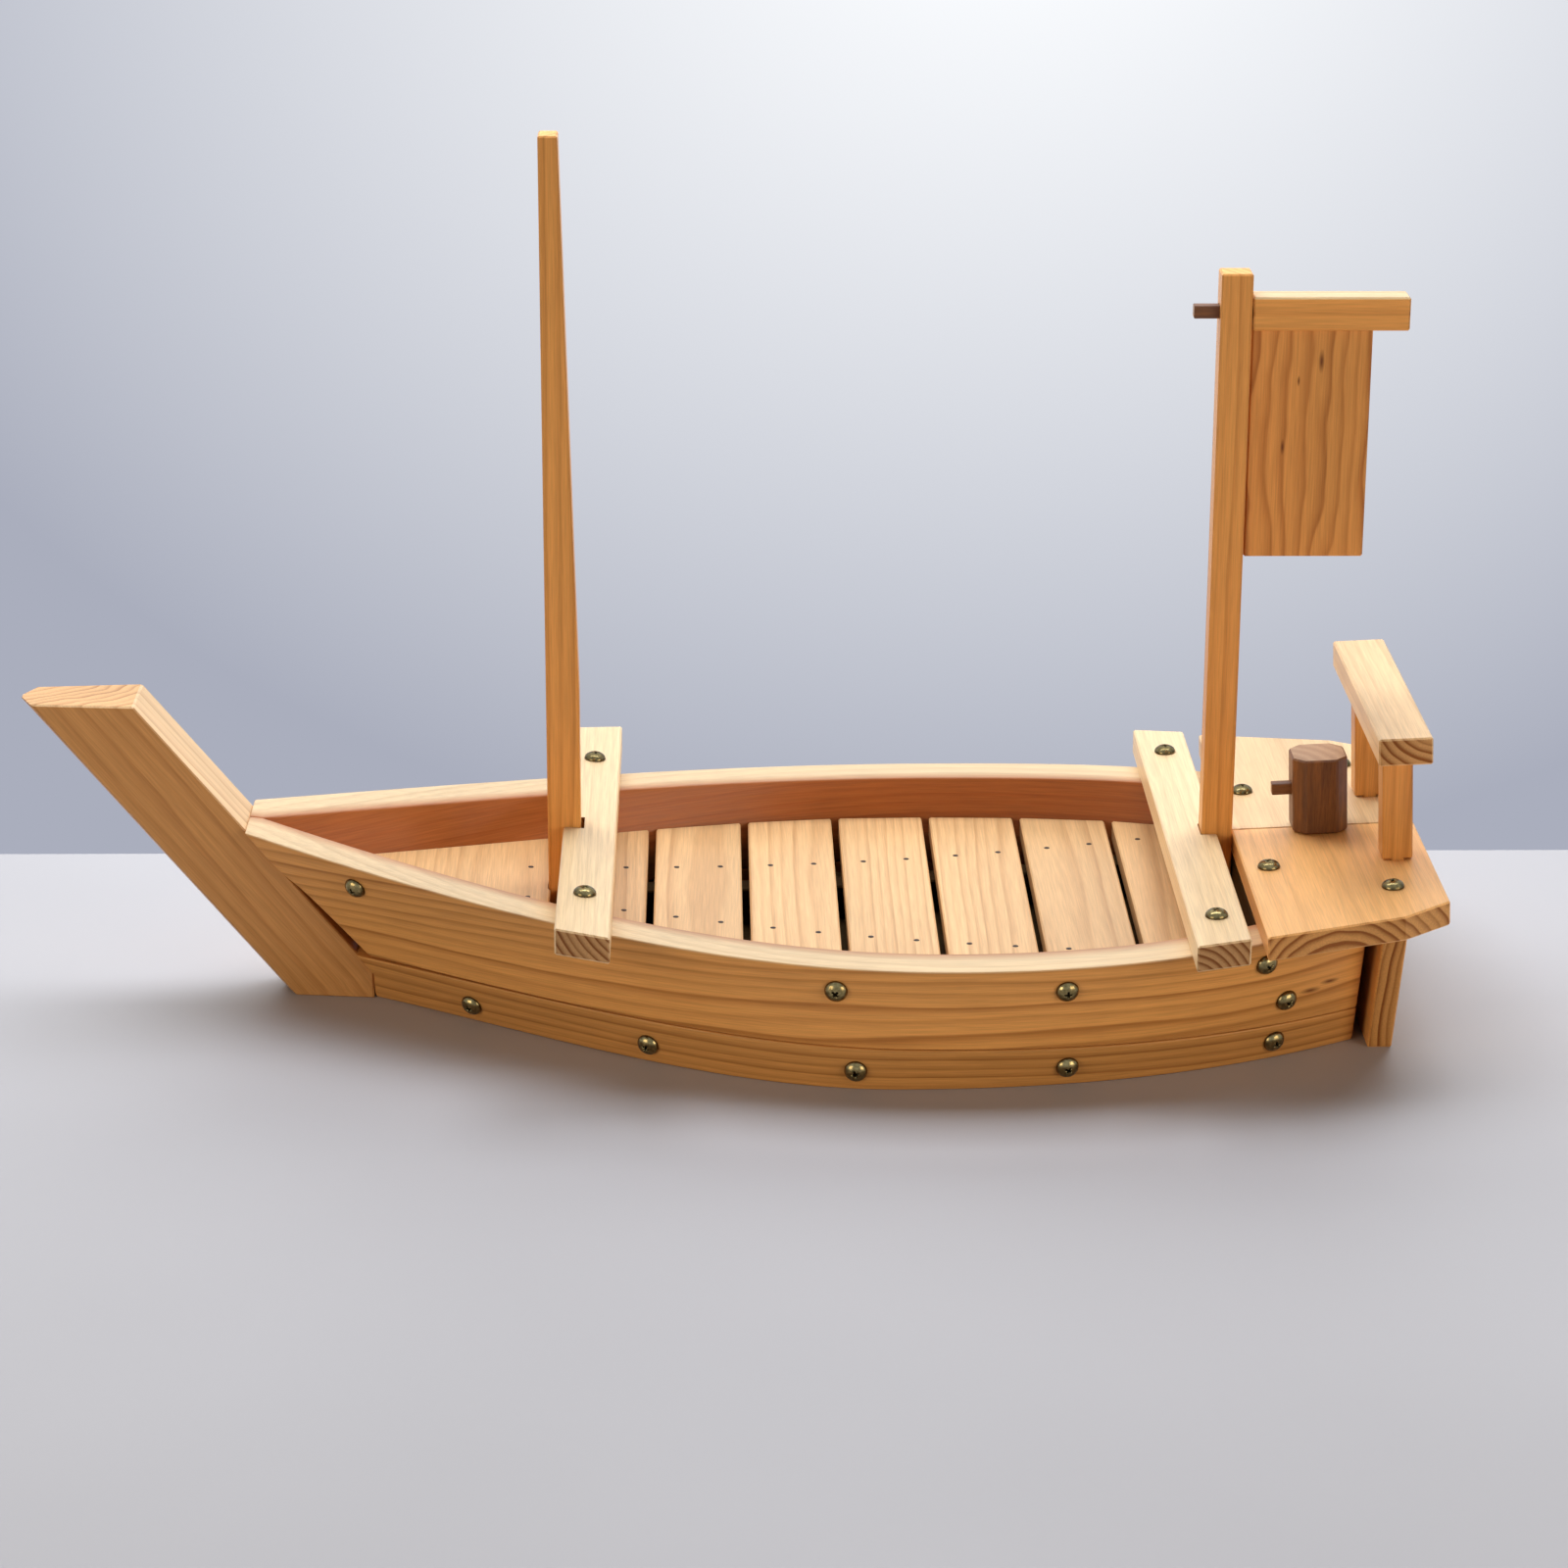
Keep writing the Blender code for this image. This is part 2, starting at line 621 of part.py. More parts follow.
def make_masts(cut):
    """Masts that stand through the deck on the bottom board, and the flag on its peg."""
    half = MAST_WIDTH / 2
    fore = guide("fore_mast_axis", Matrix.Translation((FORE_MAST_X, 0.0, MAST_FOOT)))
    taper, head = FORE_MAST_TAPER_Z - MAST_FOOT, FORE_MAST_TOP - MAST_FOOT
    outline = [(0.0, -half, 0.0), (FORE_MAST_DEPTH, -half, 0.0), (FORE_MAST_DEPTH, -half, taper),
               (FORE_MAST_HEAD, -half, head), (0.0, -half, head)]
    add("fore_mast", prism(outline, (0.0, MAST_WIDTH, 0.0)), holder=fore)
    aft = guide("flag_mast_axis", Matrix.Translation((FLAG_MAST_X, 0.0, MAST_FOOT)))
    add("flag_mast", box((0.0, -half, 0.0), (MAST_WIDTH, half, FLAG_MAST_TOP - MAST_FOOT)),
        cuts=[cut["peg"]], holder=aft)
    flag = guide("flag_peg_axis", Matrix.Translation((MAST_WIDTH, 0.0, PEG_Z - MAST_FOOT)), aft)
    top, under = YARD_HEIGHT / 2, -YARD_HEIGHT / 2
    add("flag_yard", box((SLIDE, -half, under), (SLIDE + YARD_LENGTH, half, top)),
        cuts=[cut["groove"], cut["peg"]], holder=flag)
    add("flag_panel", box((SLIDE, -PANEL_THICK / 2, under - PANEL_DROP),
                          (SLIDE + PANEL_LENGTH, PANEL_THICK / 2, under + PANEL_TONGUE)), holder=flag)
    peg = PEG_SIDE / 2
    add("flag_peg", box((-MAST_WIDTH - PEG_OUT, -peg, -peg), (PEG_ROOT, peg, peg)), DARK_WOOD, holder=flag,
        ease=EASE / 2)


def make_stern(cut, stern):
    """Stern deck, guard rail and tiller block, square to the sloping deck."""
    length = (STERN_X - STERN_FORE_X) / math.cos(STERN_TILT)
    fore, aft = POST_SETBACK, POST_SETBACK + POST_SIDE
    tenon = (fore + aft - TENON_THICK) / 2, (fore + aft + TENON_THICK) / 2
    foot, head = STERN_THICK + JOINT, STERN_THICK + POST_HEIGHT - JOINT
    profile = [(tenon[0], foot - TENON_LENGTH), (tenon[1], foot - TENON_LENGTH), (tenon[1], foot),
               (aft, foot), (aft, head), (tenon[1], head), (tenon[1], head + TENON_LENGTH),
               (tenon[0], head + TENON_LENGTH), (tenon[0], head), (fore, head), (fore, foot),
               (tenon[0], foot)]
    for side, name in ((-1, "port"), (1, "starboard")):
        inner = side * JOINT / 2
        outline = [(0.0, inner, 0.0), (0.0, side * STERN_HALF_FORE, 0.0),
                   (STERN_KNEE, side * STERN_HALF_KNEE, 0.0), (length, side * STERN_HALF_AFT, 0.0),
                   (length, inner, 0.0)]
        add("stern_deck_" + name, prism(outline, (0.0, 0.0, STERN_THICK)),
            cuts=[cut["top"], cut["mortises"]], holder=stern)
        outline = [(x, side * POST_INNER_Y, z) for x, z in profile]
        add("rail_post_" + name, prism(outline, (0.0, side * POST_SIDE, 0.0)), holder=stern)
    middle = (fore + aft) / 2
    under = STERN_THICK + POST_HEIGHT
    add("rail_bar", box((middle - RAIL_WIDTH / 2, -RAIL_HALF, under),
                        (middle + RAIL_WIDTH / 2, RAIL_HALF, under + RAIL_THICK)),
        cuts=[cut["mortises"]], holder=stern)
    half, flat = BLOCK_SIDE / 2, BLOCK_SIDE / 2 - BLOCK_CUT
    ring = [(half, -flat), (half, flat), (flat, half), (-flat, half),
            (-half, flat), (-half, -flat), (-flat, -half), (flat, -half)]
    outline = [(BLOCK_SETBACK + half + x, y, STERN_THICK + JOINT) for x, y in ring]
    add("tiller_block", prism(outline, (0.0, 0.0, BLOCK_HEIGHT)), DARK_WOOD, [cut["tiller"]], stern)
    side, level = TILLER_SIDE / 2, STERN_THICK + TILLER_HEIGHT
    add("tiller_peg", box((BLOCK_SETBACK - TILLER_OUT, -side, level - side),
                          (BLOCK_SETBACK + TILLER_ROOT, side, level + side)), DARK_WOOD, holder=stern,
        ease=EASE / 2)


def screw_profile(name, length):
    """Half section of a round-headed screw, from the top of its dome to its point."""
    points = [(SCREW_HEAD * math.sin(a), SCREW_DOME * math.cos(a)) for a in ramp(0.0, math.pi / 2, 3)]
    points += [(SCREW_SHANK, 0.0), (SCREW_SHANK, -length), (0.0, -length)]
    mesh = bpy.data.meshes.new(name)
    mesh.from_pydata([(x, 0.0, z) for x, z in points], [(i, i + 1) for i in range(len(points) - 1)], [])
    mesh.materials.append(finish(name, *BRASS))
    return mesh


def add_screws(name, mesh, places):
    """Turned screws, numbered from 1."""
    for number, place in enumerate(places, 1):
        piece = bpy.data.objects.new("%s_%d" % (name, number), mesh)
        BOAT.objects.link(piece)
        piece.location = place.to_translation()
        piece.rotation_euler = place.to_euler()
        spin = piece.modifiers.new("turned", "SCREW")
        spin.steps = 12
        spin.render_steps = 12
        spin.use_merge_vertices = True
        spin.merge_threshold = 0.00001
        spin.use_smooth_shade = True


def make_fasteners():
    """Round-headed screws in the planks, the cross beams and the stern deck."""
    short = screw_profile("side_screw", SIDE_SCREW)
    add_screws("port_screw", short, side_screws(-1))
    add_screws("starboard_screw", short, side_screws(1))
    long = screw_profile("deck_screw", DECK_SCREW)
    add_screws("fore_beam_screw", long, beam_screws(FORE_BEAM_X))
    add_screws("aft_beam_screw", long, beam_screws(AFT_BEAM_X))
    add_screws("stern_deck_screw", long, stern_screws())


def main():
    """Builds every piece of the boat."""
    stern = guide("stern_deck_axis", STERN)
    cut = make_cutters(stern)
    make_hull(cut)
    make_deck(cut)
    make_beams(cut)
    make_masts(cut)
    make_stern(cut, stern)
    make_fasteners()


main()
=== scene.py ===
"""Looks of a varnished pine serving boat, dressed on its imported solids.

Metres, +Z up. The bow points to -X, port is the -Y side, and the boat stands on Z = 0.
"""

import logging
import math
from dataclasses import dataclass, field, replace
from enum import Enum
from functools import partial
from typing import Callable, Iterable, Sequence, Union

import bpy
import numpy as np
from mathutils import Matrix, Vector


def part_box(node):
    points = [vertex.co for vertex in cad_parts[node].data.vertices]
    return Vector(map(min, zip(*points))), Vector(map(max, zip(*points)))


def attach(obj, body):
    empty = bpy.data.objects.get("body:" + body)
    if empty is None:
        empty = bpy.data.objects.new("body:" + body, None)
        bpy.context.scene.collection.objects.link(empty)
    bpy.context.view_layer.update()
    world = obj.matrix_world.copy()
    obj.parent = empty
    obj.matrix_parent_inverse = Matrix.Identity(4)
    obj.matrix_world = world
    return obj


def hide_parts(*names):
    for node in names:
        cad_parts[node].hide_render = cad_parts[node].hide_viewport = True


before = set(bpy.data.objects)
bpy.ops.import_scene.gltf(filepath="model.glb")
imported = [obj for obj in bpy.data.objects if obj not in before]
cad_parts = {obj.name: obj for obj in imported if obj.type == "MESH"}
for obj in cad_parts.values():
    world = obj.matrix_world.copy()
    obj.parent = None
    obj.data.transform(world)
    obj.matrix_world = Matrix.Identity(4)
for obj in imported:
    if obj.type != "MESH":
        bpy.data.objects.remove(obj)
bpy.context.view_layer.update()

LOG = logging.getLogger("serving_boat")
SHARP_EDGE = math.radians(38.0)
STEM_RAKE = math.radians(50.7)
HULL = "hull"

Array = np.ndarray
Material = bpy.types.Material
Node = bpy.types.Node
Piece = bpy.types.Object
Socket = bpy.types.NodeSocket
Tree = bpy.types.NodeTree
Curve = Callable[[Array], Array]
Colour = tuple[float, float, float, float]
Place = tuple[float, float, float]
Span = tuple[float, float]
Source = Union[Node, Socket, float]

UNIT: Span = (0.0, 1.0)
# Most of a noise's values lie in this range.
NOISE: Span = (0.3, 0.7)


class Grain(Enum):
    """Direction of a board's fibres, as the turn that lays local X along them."""

    ALONG = (0.0, 0.0, 0.0)
    ACROSS = (0.0, 0.0, math.pi / 2)
    UPRIGHT = (0.0, -math.pi / 2, 0.0)
    RAKED = (0.0, STEM_RAKE - math.pi, 0.0)
    # A hair off ALONG, because members of equal value would be one and the same.
    BENT = (0.0, 0.0, 1e-9)


class Side(Enum):
    """Side of the hull, as the sign of Y."""

    PORT = -1
    STARBOARD = 1

    @property
    def label(self) -> str:
        """Name of the side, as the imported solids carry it."""
        return self.name.lower()


def linear(code: str, gain: float = 1.0) -> Colour:
    """Turns an sRGB hex colour into linear RGBA.

    Args:
        code: colour such as "#C08040".
        gain: factor on the linear colour.

    Returns:
        Linear red, green, blue and an alpha of 1.
    """
    parts = np.array([int(code[i:i + 2], 16) for i in (1, 3, 5)]) / 255.0
    flat = np.where(parts <= 0.04045, parts / 12.92, ((parts + 0.055) / 1.055) ** 2.4)
    return (*(np.clip(flat * gain, 0.0, 1.0).tolist()), 1.0)


def feed(tree: Tree, node: Node, inputs: dict | Sequence) -> None:
    """Sets or links a node's inputs.

    Args:
        tree: node tree that holds the node.
        node: node that is fed.
        inputs: what its inputs get, by name or in their order: a value, an output socket, or a
            node, which stands for the first output that its settings leave in use.
    """
    pairs = inputs.items() if isinstance(inputs, dict) else enumerate(inputs)
    for name, value in pairs:
        if isinstance(value, Node):
            value = next(output for output in value.outputs if output.enabled)
        if isinstance(value, Socket):
            tree.links.new(value, node.inputs[name])
        else:
            node.inputs[name].default_value = value


def add_node(tree: Tree, kind: str, inputs: dict | Sequence = (), stops: Sequence[Span] = (),
             **settings: object) -> Node:
    """Adds a shader node with its settings and links.

    Args:
        tree: node tree that gets the node.
        kind: node type without its ShaderNode prefix.
        inputs: what its inputs get, by name or in their order.
        stops: place and grey level of each stop, for a node with a ramp.
        settings: attributes of the node.

    Returns:
        The new node.
    """
    made = tree.nodes.new("ShaderNode" + kind)
    for name, value in settings.items():
        setattr(made, name, value)
    feed(tree, made, inputs)
    for i, (place, level) in enumerate(stops):
        ramp = made.color_ramp.elements
        stop = ramp[i] if i < 2 else ramp.new(place)
        stop.position = place
        stop.color = (level, level, level, 1.0)
    return made


def new_material(name: str) -> tuple[Material, Tree, Node]:
    """Makes an empty node material.

    Args:
        name: name of the material.

    Returns:
        The material, its node tree and its Principled shader.
    """
    material = bpy.data.materials.new(name)
    material.use_nodes = True
    return material, material.node_tree, material.node_tree.nodes["Principled BSDF"]


def ring_number(tree: Tree, log: Source, ring: float, drift: Source) -> Node:
    """Counts the year rings: the distance from the pith line over the ring's width, plus a drift.

    Args:
        tree: node tree that gets the nodes.
        log: places in the log, with X along the pith.
        ring: width of a year's ring.
        drift: what is added to the count.

    Returns:
        A node with the ring's number.
    """
    section = add_node(tree, "VectorMath", (log, (0.0, 1.0, 1.0)), operation="MULTIPLY")
    radius = add_node(tree, "VectorMath", (section,), operation="LENGTH")
    return add_node(tree, "Math", (radius, 1 / ring, drift), operation="MULTIPLY_ADD")


def sawn_end(tree: Tree, normal: Socket, turn: Sequence[float], facing: Span) -> Node:
    """Marks a board's sawn ends, where a face looks along the fibres.

    Args:
        tree: node tree that gets the nodes.
        normal: direction in which the face looks.
        turn: turn that lays X along the fibres.
        facing: cosines between face and fibres where a sawn end begins and where it is complete.

    Returns:
        A node with 1 on a sawn end and 0 on a planed face.
    """
    fibres = Matrix.Rotation(turn[2], 3, "Z") @ Matrix.Rotation(turn[1], 3, "Y") @ Vector((1, 0, 0))
    along = add_node(tree, "VectorMath", (normal, fibres), operation="DOT_PRODUCT")
    square = add_node(tree, "Math", (along,), operation="ABSOLUTE")
    return add_node(tree, "MapRange", (square, *facing))


@dataclass(frozen=True)
class Cut:
    """How a board lay in its log.

    Attributes:
        grain: direction of the fibres.
        pith: from the board's middle to the middle of the log's rings, in metres.
        ring: width of a year's ring, in metres.
        tone: lightness against the finish's own colours.
        lean: turn of the fibres off the board's axis about Y and Z, in degrees, which draws arches.
        wander: how far the rings wander, in ring widths.
        figure: strength of the late wood on planed faces.
        pale: share of cream outer wood, 0 to 1; on a bent plank only its top edge has it, as painted light.
        redness: share of reddish heartwood, 0 to 1; on a bent plank only its inside has it, as painted shade.
        sweep: length along the fibres over which the rings wander, in metres.
        flecks: small resin flecks: place from the board's middle and length, in metres.
        end: lightness of the sawn ends against the planed faces.
        end_figure: strength of the late wood on sawn ends.
        crown: painted light on faces that look up: their lightness against the others, and share of cream.
        crown_from: height above the table from which the crown holds, in metres.
    """

    grain: Grain
    pith: Place
    ring: float = 0.0036
    tone: float = 1.0
    lean: Span = (0.6, 0.4)
    wander: float = 1.6
    figure: float = 0.5
    pale: float = 0.0
    redness: float = 0.0
    sweep: float = 0.23
    flecks: tuple[tuple[float, float, float, float], ...] = ()
    end: float = 0.70
    end_figure: float = 1.6
    crown: Span = (1.0, 0.0)
    crown_from: float = 0.0


@dataclass
class Faces:
    """How a board's faces differ from each other, each as a number or a node.

    Attributes:
        figure: strength of the late wood.
        sapwood_and_top_light: share of cream outer wood, with the painted light on faces that look up.
        heartwood_and_inner_shade: where reddish heartwood may show; on a bent plank, painted shade inside.
        gain: factor on the colour.
        dull: what is added to the roughness.
    """

    figure: Source
    sapwood_and_top_light: Source
    heartwood_and_inner_shade: Source
    gain: Source = 1.0
    dull: Source = 0.0


@dataclass(frozen=True)
class VarnishedPine:
    """Planed pine under a clear satin varnish.

    Pale early wood runs into honey-brown late wood and stops short at the next year's ring. Sawn
    ends drink the varnish, so they are duller. The varnish gives flat faces a soft, pale sheen of
    whatever stands behind them. Sizes are in metres, and the fibres are drawn coarser than real
    ones, so that they show.
    """

    early: str = "#E8A75B"
    late: str = "#9C5A20"
    cream: str = "#F4D6A6"
    # Reddish heartwood, and the painted shade on a bent plank's inside.
    heartwood_and_inner_shade: str = "#BE6C35"
    fleck: str = "#683412"
    growth: tuple[Span, ...] = ((0.0, 0.28), (0.10, 0.04), (0.42, 0.12), (0.70, 0.55), (0.88, 1.0),
                                (0.95, 0.85), (1.0, 0.28))
    vigour: Span = (0.40, 1.0)
    fibre: float = 0.0007
    fibre_stretch: float = 40.0
    fibre_gain: Span = (0.84, 1.10)
    drift: float = 0.026
    patch: float = 0.060
    patch_gain: Span = (0.86, 1.10)
    ior: float = 1.30
    coat: float = 0.09
    coat_roughness: float = 0.16
    rough_fibre: Span = (0.25, 0.75)
    roughness: Span = (0.30, 0.46)
    relief: float = 0.00035
    relief_strength: float = 0.22
    late_relief: float = 0.5
    end_facing: Span = (0.60, 0.90)
    end_pale: float = 0.3
    end_dull: float = 0.22
    # Cosines with the vertical at which faces begin and end taking the painted light from above.
    crown_facing: Span = (0.35, 0.60)
    top_figure: float = 0.3
    fleck_width: float = 0.26
    fleck_edge: Span = (0.5, 0.1)
    fleck_depth: float = 0.9

    def late_wood(self, tree: Tree, log: Source, drift: Source, cut: Cut) -> Node:
        """Draws the year rings, which wander slowly along the fibres.

        The fraction of the ring number runs through early to late wood, and its whole part decides
        how strong that year is.

        Args:
            tree: node tree that gets the nodes.
            log: places in the log.
            drift: the same places, drawn together along the fibres.
            cut: how the board lay in its log.

        Returns:
            A node with the share of late wood.
        """
        node = partial(add_node, tree)
        wander = node("TexNoise", {"Vector": drift, "Scale": 1 / self.drift, "Detail": 2.0,
                                   "Roughness": 0.45})
        offset = node("Math", (wander, cut.wander), operation="MULTIPLY")
        years = ring_number(tree, log, cut.ring, offset)
        season = node("Math", (years,), operation="FRACT")
        growth = node("ValToRGB", (season,), self.growth)
        year = node("Math", (years,), operation="FLOOR")
        luck = node("TexWhiteNoise", {"W": year}, noise_dimensions="1D")
        vigour = node("MapRange", (luck, *UNIT, *self.vigour))
        return node("Math", (growth, vigour), operation="MULTIPLY")

    def bent_faces(self, tree: Tree, cut: Cut) -> Faces:
        """Tells a bent plank's faces apart by the marks on its mesh.

        Args:
            tree: node tree that gets the nodes.
            cut: how the plank lay in its log.

        Returns:
            Its faces: a plain top edge, pale as painted light, an inside reddish as painted shade, and the
                rest.
        """
        node = partial(add_node, tree)
        top, inside = (node("Attribute", attribute_name=mark).outputs["Fac"] for mark in ("top", "inside"))
        return Faces(figure=node("MapRange", (top, *UNIT, cut.figure, cut.figure * self.top_figure)),
                     sapwood_and_top_light=node("Math", (top, cut.pale), operation="MULTIPLY"),
                     heartwood_and_inner_shade=inside)

    def sawn_faces(self, tree: Tree, source: bpy.types.NodeOutputs, turn: Sequence[float],
                   patch: Source, cut: Cut) -> Faces:
        """Tells a straight board's faces apart by where they look.

        Args:
            tree: node tree that gets the nodes.
            source: the board's own coordinates.
            turn: turn that lays X along the fibres.
            patch: slow noise that spreads the heartwood.
            cut: how the board lay in its log.

        Returns:
            Its faces: sawn ends, faces that look up, which get painted light, and the rest.
        """
        node = partial(add_node, tree)
        end = sawn_end(tree, source["Normal"], turn, self.end_facing)
        # Painted light from above: faces that look up, from crown_from upwards, are drawn lighter and
        # creamier.
        upward, height = (node("SeparateXYZ", (source[name],)).outputs["Z"] for name in ("Normal", "Object"))
        bright = node("MapRange", (upward, *self.crown_facing))
        above = node("Math", (height, cut.crown_from), operation="GREATER_THAN")
        crown = node("Math", (bright, above), operation="MULTIPLY")
        lightness, painted_top_cream = cut.crown
        gain = node("MapRange", (crown, *UNIT, 1.0, lightness))
        sapwood_and_top_light = node("MapRange", (crown, *UNIT, cut.pale, max(cut.pale, painted_top_cream)))
        return Faces(figure=node("MapRange", (end, *UNIT, cut.figure, cut.end_figure)),
                     sapwood_and_top_light=node("MapRange", (end, *UNIT, sapwood_and_top_light, cut.pale * self.end_pale)),
                     heartwood_and_inner_shade=patch,
                     gain=node("MapRange", (end, *UNIT, gain, cut.end)),
                     dull=node("MapRange", (end, *UNIT, 0.0, self.end_dull)))

    def on(self, name: str, cut: Cut, middle: Sequence[float]) -> Material:
        """Builds the finish for one board.

        Args:
            name: name of the board.
            cut: how the board lay in its log.
            middle: middle of the board, in the space that the pattern reads.

        Returns:
            The material.
        """
        material, tree, shader = new_material("varnished_pine_" + name)
        node = partial(add_node, tree)
        source = node("TexCoord").outputs
        bent = cut.grain is Grain.BENT
        place = node("Attribute", attribute_name="grain").outputs["Vector"] if bent else source["Object"]
        pith = [m + p for m, p in zip(middle, cut.pith)]
        turn = [a + math.radians(b) for a, b in zip(cut.grain.value, (0.0, *cut.lean))]
        log = node("Mapping", {"Vector": place, "Location": pith, "Rotation": turn}, vector_type="TEXTURE")
        drift = node("VectorMath", (log, (self.drift / cut.sweep, 1.0, 1.0)), operation="MULTIPLY")
        late = self.late_wood(tree, log, drift, cut)
        thread = node("VectorMath", (log, (1 / self.fibre_stretch, 1.0, 1.0)), operation="MULTIPLY")
        fibre = node("TexNoise", {"Vector": thread, "Scale": 1 / self.fibre, "Detail": 3.0,
                                  "Roughness": 0.6})
        patch = node("TexNoise", {"Vector": drift, "Scale": 1 / self.patch, "Detail": 1.0})
        fibre_gain = node("MapRange", (fibre, *NOISE, *self.fibre_gain))
        patch_gain = node("MapRange", (patch, *NOISE, *self.patch_gain))
        gain = node("Math", (fibre_gain, patch_gain), operation="MULTIPLY")

        faces = self.bent_faces(tree, cut) if bent else self.sawn_faces(tree, source, turn, patch, cut)
        strong = node("Math", (late, faces.figure), operation="MULTIPLY", use_clamp=True)
        red = node("Math", (faces.heartwood_and_inner_shade, cut.redness), operation="MULTIPLY")
        shade = node("Math", (gain, faces.gain), operation="MULTIPLY")
        body = linear(self.early, cut.tone)
        for share, colour in ((faces.sapwood_and_top_light, self.cream), (strong, self.late), (red, self.heartwood_and_inner_shade)):
            body = node("Mix", {"Factor": share, "A": body, "B": linear(colour, cut.tone)}, data_type="RGBA")
        body = node("Mix", {"Factor": 1.0, "A": body, "B": shade}, data_type="RGBA", blend_type="MULTIPLY")
        for *spot, length in cut.flecks:
            width = length * self.fleck_width
            near = node("Mapping", {"Vector": place, "Location": [m + d for m, d in zip(middle, spot)],
                                    "Rotation": turn, "Scale": (length, width, width)}, vector_type="TEXTURE")
            away = node("VectorMath", (near,), operation="LENGTH")
            mark = node("MapRange", (away, *self.fleck_edge, 0.0, self.fleck_depth))
            body = node("Mix", {"Factor": mark, "A": body, "B": linear(self.fleck)}, data_type="RGBA")

        rough = node("MapRange", (fibre, *self.rough_fibre, *self.roughness))
        dull = node("Math", (rough, faces.dull), operation="ADD")
        ridge = node("Math", (late, self.late_relief, fibre), operation="MULTIPLY_ADD")
        bump = node("Bump", {"Strength": self.relief_strength, "Distance": self.relief, "Height": ridge})
        feed(tree, shader, {"Base Color": body, "Roughness": dull, "Normal": bump, "IOR": self.ior,
                            "Coat Weight": self.coat, "Coat Roughness": self.coat_roughness})
        return material


@dataclass(frozen=True)
class StainedHardwood:
    """Hardwood stained walnut brown: nearly black pores in a red-brown ground, paler on a sawn end.

    Sizes are in metres, and the pores are drawn coarser than real ones, so that they show.
    """

    dark: str = "#5C3514"
    light: str = "#8C5826"
    end_light: str = "#B58C62"
    streak: float = 0.0040
    streak_stretch: float = 14.0
    streak_bands: Span = (0.34, 0.68)
    pore: float = 0.00045
    pore_depth: Span = (0.3, 0.6)
    pore_gain: Span = (0.72, 1.05)
    roughness: Span = (0.52, 0.38)
    ring: float = 0.0070
    half_ring: float = 0.5
    wander: float = 0.5
    end_facing: Span = (0.72, 0.94)
    relief: float = 0.0003
    relief_strength: float = 0.3

    def on(self, name: str, grain: Grain, pith: Sequence[float]) -> Material:
        """Builds the finish for one piece.

        Streaks are noise drawn out along the grain; on sawn ends the rings show as arcs round the pith.

        Args:
            name: name of the piece.
            grain: direction of the fibres.
            pith: a point on the middle of the log's rings.

        Returns:
            The material.
        """
        material, tree, shader = new_material("stained_hardwood_" + name)
        node = partial(add_node, tree)
        source = node("TexCoord").outputs
        turn = grain.value
        log = node("Mapping", {"Vector": source["Object"], "Location": pith, "Rotation": turn},
                   vector_type="TEXTURE")
        drawn = node("VectorMath", (log, (1 / self.streak_stretch, 1.0, 1.0)), operation="MULTIPLY")
        streak = node("TexNoise", {"Vector": drawn, "Scale": 1 / self.streak, "Detail": 3.0,
                                   "Roughness": 0.6})
        pore = node("TexNoise", {"Vector": drawn, "Scale": 1 / self.pore, "Detail": 2.0})
        drift = node("Math", (streak, self.wander), operation="MULTIPLY")
        years = ring_number(tree, log, self.ring, drift)
        season = node("Math", (years, self.half_ring), operation="PINGPONG")
        end = sawn_end(tree, source["Normal"], turn, self.end_facing)
        bands = node("MapRange", (streak, *self.streak_bands))
        light = linear(self.light)
        side = node("Mix", {"Factor": bands, "A": linear(self.dark), "B": light}, data_type="RGBA")
        top = node("Mix", {"Factor": season, "A": linear(self.end_light), "B": light}, data_type="RGBA")
        wood = node("Mix", {"Factor": end, "A": side, "B": top}, data_type="RGBA")
        grit = node("MapRange", (pore, *self.pore_depth, *self.pore_gain))
        body = node("Mix", {"Factor": 1.0, "A": wood, "B": grit}, data_type="RGBA", blend_type="MULTIPLY")
        rough = node("MapRange", (pore, *NOISE, *self.roughness))
        bump = node("Bump", {"Strength": self.relief_strength, "Distance": self.relief, "Height": pore})
        feed(tree, shader, {"Base Color": body, "Roughness": rough, "Normal": bump})
        return material


@dataclass(frozen=True)
class AgedBrass:
    """Turned brass gone dull: a brown-gold shine on the dome, dark patina in the recess, and specks.

    Sizes are in metres, and the scratches are drawn coarser than real ones, so that they show.
    """

    bright: str = "#A59466"
    dull: str = "#6E603C"
    oxide_and_rim_shade: str = "#1C160C"
    speck: float = 0.0016
    roughness: Span = (0.26, 0.16)
    scratch: float = 0.00025
    scratch_depth: float = 0.0001
    scratch_strength: float = 0.04

    def finish(self) -> Material:
        """Builds the metal; a mark on the mesh darkens the recess with patina and the rim with painted shade.

        Returns:
            The material.
        """
        material, tree, shader = new_material("aged_brass")
        node = partial(add_node, tree)
        place = node("TexCoord").outputs["Object"]
        speck = node("TexNoise", {"Vector": place, "Scale": 1 / self.speck, "Detail": 3.0})
        scratch = node("TexNoise", {"Vector": place, "Scale": 1 / self.scratch, "Detail": 1.0})
        worn = node("MapRange", (speck, *NOISE))
        # Dark patina in the recess, and painted shade round the rim.
        recess = node("Attribute", attribute_name="oxide_and_rim_shade").outputs["Fac"]
        colour = linear(self.dull)
        for share, other in ((worn, self.bright), (recess, self.oxide_and_rim_shade)):
            colour = node("Mix", {"Factor": share, "A": colour, "B": linear(other)}, data_type="RGBA")
        rough = node("MapRange", (worn, *UNIT, *self.roughness))
        bump = node("Bump", {"Strength": self.scratch_strength, "Distance": self.scratch_depth,
                             "Height": scratch})
        feed(tree, shader, {"Base Color": colour, "Roughness": rough, "Normal": bump, "Metallic": 1.0})
        return material


